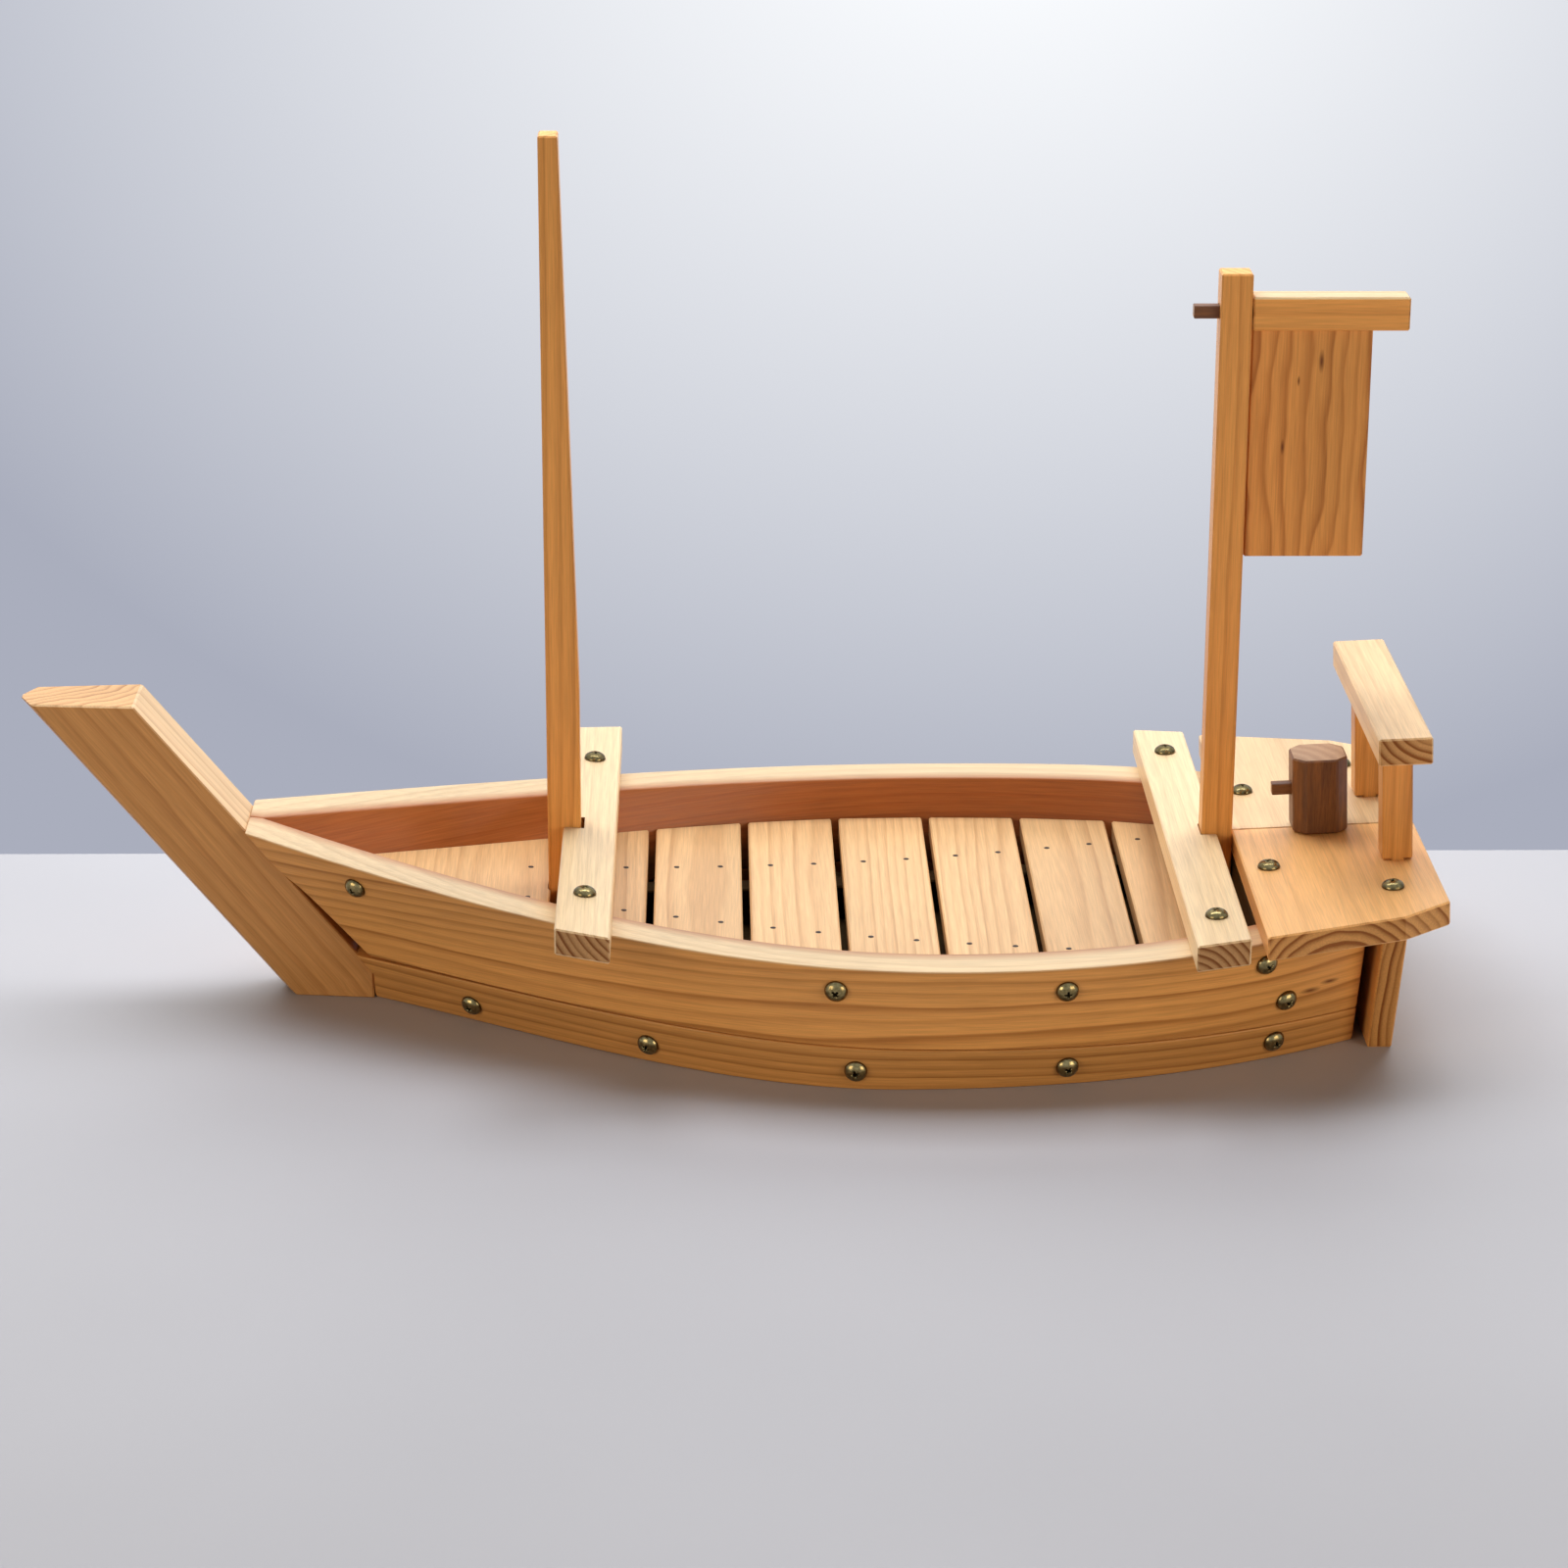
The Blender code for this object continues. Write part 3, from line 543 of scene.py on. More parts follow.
@dataclass(frozen=True)
class BluedIron:
    """Wire nail heads set with a hammer: near-black iron with brownish specks; sizes in metres."""

    iron: str = "#1C1816"
    rust: str = "#422A1A"
    speck: float = 0.0006
    metallic: float = 0.3
    roughness: Span = (0.40, 0.65)
    pit_depth: float = 0.0001
    pit_strength: float = 0.2

    def finish(self) -> Material:
        """Builds the metal.

        Returns:
            The material.
        """
        material, tree, shader = new_material("blued_iron")
        node = partial(add_node, tree)
        place = node("TexCoord").outputs["Object"]
        speck = node("TexNoise", {"Vector": place, "Scale": 1 / self.speck, "Detail": 2.0})
        colour = node("Mix", {"Factor": speck, "A": linear(self.iron), "B": linear(self.rust)},
                      data_type="RGBA")
        rough = node("MapRange", (speck, *UNIT, *self.roughness))
        bump = node("Bump", {"Strength": self.pit_strength, "Distance": self.pit_depth, "Height": speck})
        feed(tree, shader, {"Base Color": colour, "Roughness": rough, "Normal": bump,
                            "Metallic": self.metallic})
        return material


PINE = VarnishedPine()
BARE_PINE = VarnishedPine(early="#D6AC76", late="#AC7A44", ior=1.04, coat=0.0)
HARDWOOD = StainedHardwood()


def grid_quads(rows: int, columns: int) -> Array:
    """Quads of a grid whose columns close into a ring.

    Args:
        rows: number of rings.
        columns: points in a ring.

    Returns:
        Point numbers, four to a row.
    """
    here = np.arange(rows * columns).reshape(rows, columns)
    beside = np.roll(here, -1, axis=1)
    return np.stack([here[:-1], beside[:-1], beside[1:], here[1:]], axis=-1).reshape(-1, 4)


def turned_faces(rows: int, columns: int, start: int = 0) -> list[list[int]]:
    """Faces of a turned shape: rings round its axis, closed by a crown and a foot.

    Args:
        rows: number of rings, from the crown down.
        columns: points in a ring.
        start: number of its first point.

    Returns:
        Point numbers of each face, turned outwards.
    """
    crown = np.arange(columns)
    foot = crown[::-1] + (rows - 1) * columns
    return [*(grid_quads(rows, columns)[:, ::-1] + start).tolist(), (crown + start).tolist(),
            (foot + start).tolist()]


def new_piece(name: str, points: Array, faces: Iterable[Sequence[int]],
              marks: dict[str, Array] | None = None) -> Piece:
    """Puts a closed surface into a mesh object at the origin, smooth but for its sharp edges.

    Args:
        name: name of the piece.
        points: point places, one to a row.
        faces: point numbers of each face, turned outwards.
        marks: numbers or vectors kept on the points for the finish to read.

    Returns:
        The object, linked to the scene.
    """
    mesh = bpy.data.meshes.new(name)
    mesh.from_pydata(points.reshape(-1, 3).tolist(), [], [list(f) for f in faces])
    for label, values in (marks or {}).items():
        flat = values.reshape(len(mesh.vertices), -1)
        kind, slot = ("FLOAT", "value") if flat.shape[1] == 1 else ("FLOAT_VECTOR", "vector")
        mesh.attributes.new(label, kind, "POINT").data.foreach_set(slot, flat.astype(np.float32).ravel())
    mesh.shade_smooth()
    mesh.set_sharp_from_angle(angle=SHARP_EDGE)
    piece = bpy.data.objects.new(name, mesh)
    bpy.context.scene.collection.objects.link(piece)
    return piece


def fit_to_hull(piece: Piece, material: Material, replaced: str = "") -> None:
    """Gives a new piece its finish and its place in the frame.

    Args:
        piece: the new piece, which rides on the hull.
        material: finish for all its faces.
        replaced: solid that it stands for, if any.
    """
    piece.data.materials.append(material)
    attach(piece, HULL)
    if replaced:
        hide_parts(replaced)
    LOG.info("made %s", piece.name)


def middle_of(node: str) -> Vector:
    """Middle of a solid's box."""
    low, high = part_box(node)
    return (low + high) / 2


def dress(node: str, material: Material) -> None:
    """Gives a solid of the frame its finish.

    Args:
        node: name of the solid.
        material: finish for all its faces.
    """
    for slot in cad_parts[node].material_slots:
        slot.material = material
    LOG.info("dressed %s in %s", node, material.name)


def dress_boards(cuts: dict[str, Cut], finish: VarnishedPine = PINE) -> None:
    """Gives solids of the frame a pine finish, each sawn from its own place in a log.

    Args:
        cuts: how each solid lay in its log, by name.
        finish: varnished or bare pine.
    """
    for node, cut in cuts.items():
        dress(node, finish.on(node, cut, middle_of(node)))


@dataclass
class HullLines:
    """Lines that the planks follow, in metres: breadths and heights along the boat."""

    bow: float = -0.350
    stern: float = 0.350
    stem_top: float = 0.1553
    stem_depth: float = 0.058
    heel_rise: float = 0.0147
    joint: float = 0.0003
    planks_from_stern: float = 0.0388
    aft_rake: float = 0.037
    sheer_fore: Span = (0.0915, -0.125)
    sheer_low: Span = (0.105, 0.0663)
    sheer_aft: Span = (0.0727, 0.048)
    rail_fore: Span = (0.025, 0.60)
    rail_max: Span = (0.110, 0.154)
    rail_aft: Span = (0.0985, -0.68)
    floor_fore: Span = (0.0165, 0.60)
    floor_max: Span = (0.085, 0.140)
    floor_aft: Span = (0.078, -0.62)
    seam_fore: float = 0.027
    seam_aft: float = 0.019
    plank: float = 0.0245
    deck_drop: float = 0.0205
    step: float = 0.0005
    heel: float = field(init=False)
    hull_fore: float = field(init=False)
    hull_aft: float = field(init=False)

    def __post_init__(self) -> None:
        """Works out the stations where the planks begin and end."""
        self.heel = self.stem_back(self.heel_rise)
        self.hull_fore = self.stem_back(self.sheer_fore[0]) + self.joint
        self.hull_aft = self.stern - self.planks_from_stern

    def stem_back(self, z: Array | float) -> Array | float:
        """Station of the stem's after face."""
        return self.bow + (self.stem_top - z) / math.tan(STEM_RAKE) + self.stem_depth

    def between(self, x: Array, fore: Sequence[float], aft: Sequence[float]) -> Array:
        """Cubic through two ends, carried on straight beyond them.

        Args:
            x: stations along the boat.
            fore: station, value and slope at the forward end.
            aft: station, value and slope at the after end.

        Returns:
            The value at each station.
        """
        (x0, v0, m0), (x1, v1, m1) = fore, aft
        span = x1 - x0
        t = np.clip((x - x0) / span, 0.0, 1.0)
        start = (2 * t ** 3 - 3 * t ** 2 + 1) * v0 + (t ** 3 - 2 * t ** 2 + t) * span * m0
        end = (3 * t ** 2 - 2 * t ** 3) * v1 + (t ** 3 - t ** 2) * span * m1
        return start + end + m0 * np.minimum(x - x0, 0.0) + m1 * np.maximum(x - x1, 0.0)

    def through(self, x: Array, start: float, fore: Span, middle: Span, aft: Span) -> Array:
        """Curve through three stations, level at the middle one.

        Args:
            x: stations along the boat.
            start: station of the forward end.
            fore: value and slope at the forward end.
            middle: station and value where the curve is level.
            aft: value and slope at the after end of the planks.

        Returns:
            The value at each station.
        """
        level = (*middle, 0.0)
        ahead = self.between(x, (start, *fore), level)
        behind = self.between(x, level, (self.hull_aft, *aft))
        return np.where(x < middle[0], ahead, behind)

    def sheer(self, x: Array) -> Array:
        """Height of the plank tops."""
        return self.through(x, self.hull_fore, self.sheer_fore, self.sheer_low, self.sheer_aft)

    def rail_half(self, x: Array) -> Array:
        """Half breadth outside the planks at the sheer."""
        return self.through(x, self.hull_fore, self.rail_fore, self.rail_max, self.rail_aft)

    def floor_half(self, x: Array) -> Array:
        """Half breadth outside the planks at the floor."""
        return self.through(x, self.heel, self.floor_fore, self.floor_max, self.floor_aft)

    def seam(self, x: Array) -> Array:
        """Height of the joint between the lower and the upper plank."""
        along = (x - self.heel) / (self.hull_aft - self.heel)
        return self.seam_fore + (self.seam_aft - self.seam_fore) * along

    def outer_half(self, x: Array, z: Array) -> Array:
        """Half breadth outside the planks, which flare evenly from floor to sheer."""
        floor = self.floor_half(x)
        return floor + (self.rail_half(x) - floor) * z / self.sheer(x)

    def inner_half(self, x: Array, z: Array) -> Array:
        """Half breadth inside the planks, a plank's thickness in square to the side."""
        slope = (self.outer_half(x + self.step, z) - self.outer_half(x - self.step, z)) / (2 * self.step)
        return np.maximum(self.outer_half(x, z) - self.plank * np.hypot(1.0, slope), self.joint / 2)

    def plank_fore(self, z: Array) -> Array:
        """Forward end of the planks, against the after face of the stem."""
        return np.minimum(self.stem_back(z), self.heel) + self.joint

    def plank_aft(self, z: Array) -> Array:
        """After end of the planks."""
        return self.hull_aft + self.aft_rake * z

    def deck_top(self, x: Array) -> Array:
        """Top of the deck, a fixed drop below the sheer."""
        return self.sheer(x) - self.deck_drop


@dataclass
class Planking:
    """The four bent planks of the sides, with rounded edges; sizes in metres.

    Of a plank's height, level_margin is kept clear at both edges. Of its thickness, middle_band
    splits the flat of an edge and inside_band counts as inside. Along it the pattern is centred on
    log_middle, moved by log_shift one way to port and the other to starboard.
    """

    lines: HullLines
    edge: float = 0.0011
    fore_edge: float = 0.0016
    stations: int = 110
    levels: int = 9
    level_margin: float = 0.08
    arc: int = 4
    middle_band: float = 0.36
    inside_band: float = 0.25
    rounds: int = 8
    spring: float = 0.0092
    spring_from: float = 0.021
    spring_to: float = 0.069
    spring_curve: float = 0.4
    seam_open: float = 0.0022
    seam_open_from: float = -0.02
    seam_curve: float = 1.5
    log_middle: float = 0.27
    log_shift: float = 0.05
    # The upper plank's cream top edge is painted light, and the planks' reddish insides painted shade.
    upper_cut: Cut = Cut(Grain.BENT, (0.0, -0.055, 0.052), ring=0.0044, tone=0.93, lean=(0.35, 0.55),
                         wander=2.3, figure=0.80, pale=1.0, redness=0.85,
                         flecks=((0.350, -0.0115, -0.012, 0.014), (0.362, -0.0085, -0.012, 0.013)))
    lower_cut: Cut = Cut(Grain.BENT, (0.0, 0.050, 0.034), ring=0.0042, tone=0.87, lean=(0.3, -0.5),
                         wander=2.0, figure=0.66, redness=0.95)

    def section(self) -> tuple[Array, Array, Array, Array]:
        """Rounded outline of a plank's end.

        It runs from the middle of the lower edge up the outside to the middle of the upper edge,
        then back down the inside as a mirror image. Each corner is a quarter circle.

        Returns:
            Level and depth as shares of the plank, and what to add to each in edge radii.
        """
        turn = np.linspace(0.0, math.pi / 2, self.arc + 1)
        rise = np.linspace(self.level_margin, 1.0 - self.level_margin, self.levels + 2)[1:-1]
        flat, bend = np.zeros(1), np.zeros(self.arc + 1)
        level = np.concatenate([flat, bend, rise, bend + 1.0, flat + 1.0])
        depth = np.concatenate([flat + self.middle_band, bend, 0 * rise, bend, flat + self.middle_band])
        up = np.concatenate([flat, 1 - np.cos(turn), 0 * rise, np.sin(turn) - 1, flat])
        into = np.concatenate([flat, 1 - np.sin(turn), 0 * rise, 1 - np.cos(turn), flat])
        return (np.concatenate([level, level[::-1]]), np.concatenate([depth, 1 - depth[::-1]]),
                np.concatenate([up, up[::-1]]), np.concatenate([into, -into[::-1]]))

    def rows(self, length: float) -> tuple[Array, Array]:
        """Stations along a plank, with both ends rounded.

        At an end the outline draws in by a quarter circle: at angle a it stands in from the end by
        1 - sin a and in from the sides by 1 - cos a edge radii.

        Args:
            length: length of the plank.

        Returns:
            Share of the length and the inset in metres, for each row.
        """
        turn = np.linspace(math.pi / 2, 0.0, self.arc + 1)
        fore = self.fore_edge * (1 - np.sin(turn)) / length
        aft = 1 - self.edge * (1 - np.sin(turn[::-1])) / length
        run = np.linspace(fore[-1], aft[0], self.stations)[1:-1]
        share = np.concatenate([fore, run, aft])
        inset = np.concatenate([self.fore_edge * (1 - np.cos(turn)), 0 * run,
                                self.edge * (1 - np.cos(turn[::-1]))])
        return share, inset

    def surface(self, side: Side, low: Curve, high: Curve,
                spring: float) -> tuple[Array, dict[str, Array]]:
        """Plank as a function of its length and of the way round its section.

        Each point lies at a share of the run between the stem and the after end, at a level between
        the two height lines, and at a depth between the outside and the inside of the hull. Station
        and height hang on each other, so they are worked out in rounds. The forward end stands off
        the stem by a rounded wedge that opens downwards, and leaves a dark joint.

        Args:
            side: side of the hull.
            low: height of the plank's lower edge.
            high: height of its upper edge.
            spring: widest opening of the wedge.

        Returns:
            Points by row and way round, and the marks that the finish reads: "grain", their places
            along, across and through the plank, "top" on its upper edge and "inside" on its inner face.
        """
        lines = self.lines
        length = lines.hull_aft - lines.hull_fore
        share, inset = self.rows(length)
        level, depth, up, into = self.section()
        guess = lines.hull_fore + share * length
        height = (high(guess) - low(guess))[:, None]
        share, inset = share[:, None], inset[:, None]
        f = level + up * self.edge / height
        f = inset / height + f * (1 - 2 * inset / height)
        d = depth + into * self.edge / lines.plank
        d = inset / lines.plank + d * (1 - 2 * inset / lines.plank)
        z = f * height
        for _ in range(self.rounds):
            rise = np.clip((z - self.spring_from) / (self.spring_to - self.spring_from), 0.0, 1.0)
            fore = lines.plank_fore(z) + spring * (1.0 - rise) ** self.spring_curve
            x = fore + share * (lines.plank_aft(z) - fore)
            z = low(x) + f * (high(x) - low(x))
        outer, inner = lines.outer_half(x, z), lines.inner_half(x, z)
        y = outer + d * (inner - outer)
        points = np.stack([x, side.value * y, z], axis=-1)
        steps = np.hypot(np.diff(x, axis=0), np.diff(y, axis=0))
        along = np.concatenate([np.zeros((1, x.shape[1])), np.cumsum(steps, axis=0)]) + fore - lines.hull_fore
        return points, {"grain": np.stack([along, z, d * lines.plank], axis=-1),
                        "top": np.clip(1.0 - (high(x) - z) / self.edge, 0.0, 1.0),
                        "inside": np.clip(1.0 - (1.0 - d) / self.inside_band, 0.0, 1.0)}

    def plank(self, name: str, side: Side, low: Curve, high: Curve, spring: float, cut: Cut) -> None:
        """Makes one plank in place of its solid.

        Args:
            name: "upper" or "lower".
            side: side of the hull.
            low: height of the plank's lower edge.
            high: height of its upper edge.
            spring: widest opening of its joint with the stem.
            cut: how the plank lay in its log.
        """
        points, marks = self.surface(side, low, high, spring)
        rows, ring = points.shape[:2]
        near, far = np.arange(ring // 2 - 1), np.arange(ring - 1, ring // 2, -1)
        cap = np.stack([near, far, far - 1, near + 1], axis=-1)
        last = (rows - 1) * ring
        faces = np.concatenate([grid_quads(rows, ring), cap, cap[:, ::-1] + last])
        if side is Side.STARBOARD:
            faces = faces[:, ::-1]
        piece = new_piece(f"{name}_plank_{side.label}", points, faces, marks)
        middle = (self.log_middle + self.log_shift * side.value, float(marks["grain"][..., 1].mean()),
                  self.lines.plank / 2)
        fit_to_hull(piece, PINE.on(piece.name, cut, middle), f"{name}_strake_{side.label}")

    def build(self) -> None:
        """Makes the planks of both sides; only the port upper plank has sprung off the stem."""
        lines, half = self.lines, self.lines.joint / 2
        run = self.seam_open_from - lines.hull_fore

        def lower_top(x: Array) -> Array:
            """Height of the lower plank's top, which falls away from the seam towards the stem."""
            ahead = np.clip((self.seam_open_from - x) / run, 0.0, 1.0)
            return lines.seam(x) - half - self.seam_open * ahead ** self.seam_curve

        for side, spring in {Side.PORT: self.spring, Side.STARBOARD: 0.0}.items():
            self.plank("lower", side, np.zeros_like, lower_top, 0.0, self.lower_cut)
            self.plank("upper", side, lambda x: lines.seam(x) + half, lines.sheer, spring, self.upper_cut)


@dataclass
class Backbone:
    """Stem, bottom board, transom and the hidden frames."""

    # The stem's lighter top end and its creamy faces that look up, above the sheer, are painted light from
    # above.
    stem: Cut = Cut(Grain.RAKED, (-0.030, 0.050, -0.036), ring=0.0050, tone=0.74, lean=(0.5, 1.0),
                    wander=2.6, figure=0.40, pale=0.10, redness=0.2, end=1.5, end_figure=0.9,
                    crown=(1.42, 0.9), crown_from=0.090)
    transom: Cut = Cut(Grain.ACROSS, (0.260, 0.0, -0.020), ring=0.0040, tone=1.08, lean=(0.3, 0.2),
                       wander=0.5)
    # Painted shade: the bottom board's faces that look up are darkened, and the frame and bearers near black.
    bottom: Cut = Cut(Grain.ALONG, (0.0, 0.02, -0.06), ring=0.0042, crown=(0.25, 0.0))
    stern_frame: Cut = Cut(Grain.ACROSS, (0.02, 0.0, -0.05), tone=0.09)
    bearer: Cut = Cut(Grain.ALONG, (0.0, 0.03, -0.03), tone=0.08)

    def dress(self) -> None:
        """Finishes the backbone's solids; those inside were never varnished, and are darkened as painted
        shade.
        """
        x, y, z = self.bearer.pith
        dress_boards({"stem": self.stem, "transom": self.transom})
        dress_boards({"bottom_board": self.bottom, "stern_frame": self.stern_frame,
                      **{f"deck_bearer_{side.label}": replace(self.bearer, pith=(x, -y * side.value, z))
                         for side in Side}}, BARE_PINE)


@dataclass
class Deck:
    """Foredeck board and slats, with the nails that hold them to the bearers; sizes in metres."""

    lines: HullLines
    foredeck: Cut = Cut(Grain.ACROSS, (0.03, 0.0, -0.045), ring=0.0034, tone=0.93, lean=(0.5, 0.8),
                        wander=1.5, figure=0.3, pale=0.45)
    slat: Cut = Cut(Grain.ACROSS, (0.036, 0.0, -0.030), ring=0.0034, tone=0.95, lean=(0.5, 0.9), wander=1.5,
                    figure=0.38, pale=0.55)
    slats: int = 7
    slat_swing: float = 2.4
    pith_sinks: float = 0.020
    tone_swing: float = 5.0
    tone_varies: float = 0.06
    bearer_y: float = 0.0405
    bearer_splay: float = 0.19
    nail_from_edge: float = 0.011
    foredeck_nails: float = 0.0110
    nail_radius: float = 0.0015
    nail_crown: float = 0.00035
    nail_tip: float = 0.12
    nail_sunk: float = 0.0012
    nail_columns: int = 14
    nail_rows: int = 4

    def slat_cut(self, number: int) -> Cut:
        """Swings a slat's pith, lean and lightness round by its number.

        Args:
            number: the slat's number, from the bow.

        Returns:
            How that slat lay in the log.
        """
        swing = self.slat_swing * number
        c, s = math.cos(swing), math.sin(swing)
        (x, y, z), (about_y, about_z) = self.slat.pith, self.slat.lean
        tone = self.slat.tone + self.tone_varies * math.sin(self.tone_swing * number)
        return replace(self.slat, pith=(x * c, y, z - self.pith_sinks * s ** 2), tone=tone,
                       lean=(about_y * c, about_z * s))

    def dress(self) -> None:
        """Finishes the boards, each slat sawn from another part of the log."""
        numbers = range(1, self.slats + 1)
        dress_boards({"foredeck": self.foredeck, **{f"deck_slat_{i}": self.slat_cut(i) for i in numbers}})

    def nail_spots(self) -> Array:
        """Places of the nails: two in each slat over each bearer, one row in the foredeck.

        Returns:
            Points on the deck's top.
        """
        boxes = [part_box(f"deck_slat_{i}") for i in range(1, self.slats + 1)]
        edges = np.array([[corner.x for corner in box] for box in boxes])
        x = (edges + np.array([self.nail_from_edge, -self.nail_from_edge])).ravel()
        ends = np.repeat(edges, 2, axis=0)
        share = (x - ends[:, 0]) / (ends[:, 1] - ends[:, 0])
        heights = self.lines.deck_top(ends)
        z = heights[:, 0] * (1 - share) + heights[:, 1] * share
        fore = np.array([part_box("foredeck")[1].x - self.foredeck_nails])
        x = np.concatenate([x, fore])
        z = np.concatenate([z, self.lines.deck_top(fore)])
        y = self.bearer_y + self.bearer_splay * x
        return np.concatenate([np.stack([x, y * s.value, z], axis=-1) for s in Side])

    def nails(self) -> None:
        """Makes the nails as one group: low turned domes, their radius a sine and height a cosine."""
        turn = np.linspace(self.nail_tip, math.pi / 2, self.nail_rows)
        radius = np.append(self.nail_radius * np.sin(turn), self.nail_radius)[:, None]
        height = np.append(self.nail_crown * np.cos(turn), -self.nail_sunk)[:, None]
        way = np.linspace(0.0, 2 * math.pi, self.nail_columns, endpoint=False)
        one = np.stack([radius * np.cos(way), radius * np.sin(way), height + 0 * way], axis=-1)
        rows, ring = one.shape[:2]
        spots = self.nail_spots()
        faces = [face for i in range(len(spots)) for face in turned_faces(rows, ring, i * rows * ring)]
        piece = new_piece("deck_nails", spots[:, None, None, :] + one, faces)
        fit_to_hull(piece, BluedIron().finish())


@dataclass
class CrossBeams:
    """Beams across the plank tops, their sawn ends showing beyond the sides."""

    fore: Cut = Cut(Grain.ACROSS, (0.034, 0.0, 0.026), ring=0.0037, tone=1.02, lean=(0.2, 0.2), wander=0.7,
                    figure=0.14, pale=1.0, end=0.62)
    aft_pith: Place = (-0.020, 0.0, -0.022)

    def dress(self) -> None:
        """Finishes both beams."""
        dress_boards({"fore_beam": self.fore, "aft_beam": replace(self.fore, pith=self.aft_pith)})


@dataclass
class Masts:
    """Fore mast, and flag mast with its yard, panel and peg."""

    # The masts' lighter sawn tops and the yard's cream top face are painted light from above.
    fore: Cut = Cut(Grain.UPRIGHT, (-0.050, 0.030, 0.0), ring=0.0044, tone=1.14, lean=(0.25, 0.3),
                    figure=0.42, end=1.4, end_figure=0.6)
    flag: Cut = Cut(Grain.UPRIGHT, (0.060, 0.040, 0.0), ring=0.0044, tone=1.08, lean=(0.2, 0.2), wander=1.5,
                    figure=0.42, redness=0.15, end=1.4, end_figure=0.6)
    yard: Cut = Cut(Grain.ALONG, (0.0, 0.030, 0.050), ring=0.0060, tone=1.25, lean=(0.5, 0.4), wander=1.2,
                    figure=0.32, redness=0.2, crown=(0.95, 0.8))
    panel: Cut = Cut(Grain.UPRIGHT, (-0.045, 0.030, 0.0), ring=0.0064, tone=1.10, lean=(0.4, 1.2), wander=2.4,
                     figure=0.85, redness=0.45, sweep=0.075,
                     flecks=((0.0050, -0.0045, 0.0395, 0.013), (-0.0124, -0.0045, -0.0035, 0.009),
                             (-0.0058, -0.0045, 0.0297, 0.006)))

    def dress(self) -> None:
        """Finishes the masts and the flag."""
        dress_boards({"fore_mast": self.fore, "flag_mast": self.flag, "flag_yard": self.yard,
                      "flag_panel": self.panel})
        dress("flag_peg", HARDWOOD.on("flag_peg", Grain.ALONG, middle_of("flag_peg")))


@dataclass
class SternDeck:
    """Stern deck boards, guard rail and the dark tiller block."""

    # Painted light: the port board is drawn lighter, against the block's shade and dark reflection on it.
    port: Cut = Cut(Grain.ACROSS, (-0.012, 0.0, -0.034), ring=0.0050, tone=1.20, lean=(0.4, 0.7), wander=1.5,
                    figure=0.2, pale=0.2)
    # Part of this board's cream is painted sheen.
    starboard: Cut = Cut(Grain.ACROSS, (-0.020, 0.0, -0.040), ring=0.0048, tone=0.93, lean=(0.4, 0.5),
                         wander=1.5, figure=0.2, pale=0.8)
    post: Cut = Cut(Grain.UPRIGHT, (-0.040, 0.045, 0.0), ring=0.0046, tone=0.92, lean=(0.3, 0.3), wander=1.2,
                    figure=0.42, redness=0.15)
    bar: Cut = Cut(Grain.ACROSS, (0.016, 0.0, 0.020), ring=0.0042, tone=1.02, lean=(0.3, 0.3), wander=1.0,
                   figure=0.2, pale=0.75)
    block_pith: Place = (-0.030, -0.020, 0.0)

    def dress(self) -> None:
        """Finishes everything on the stern."""
        dress_boards({"stern_deck_port": self.port, "stern_deck_starboard": self.starboard,
                      "rail_post_port": self.post, "rail_post_starboard": self.post, "rail_bar": self.bar})
        pith = middle_of("tiller_block") + Vector(self.block_pith)
        dress("tiller_block", HARDWOOD.on("tiller_block", Grain.UPRIGHT, pith))
        dress("tiller_peg", HARDWOOD.on("tiller_peg", Grain.ALONG, middle_of("tiller_peg")))


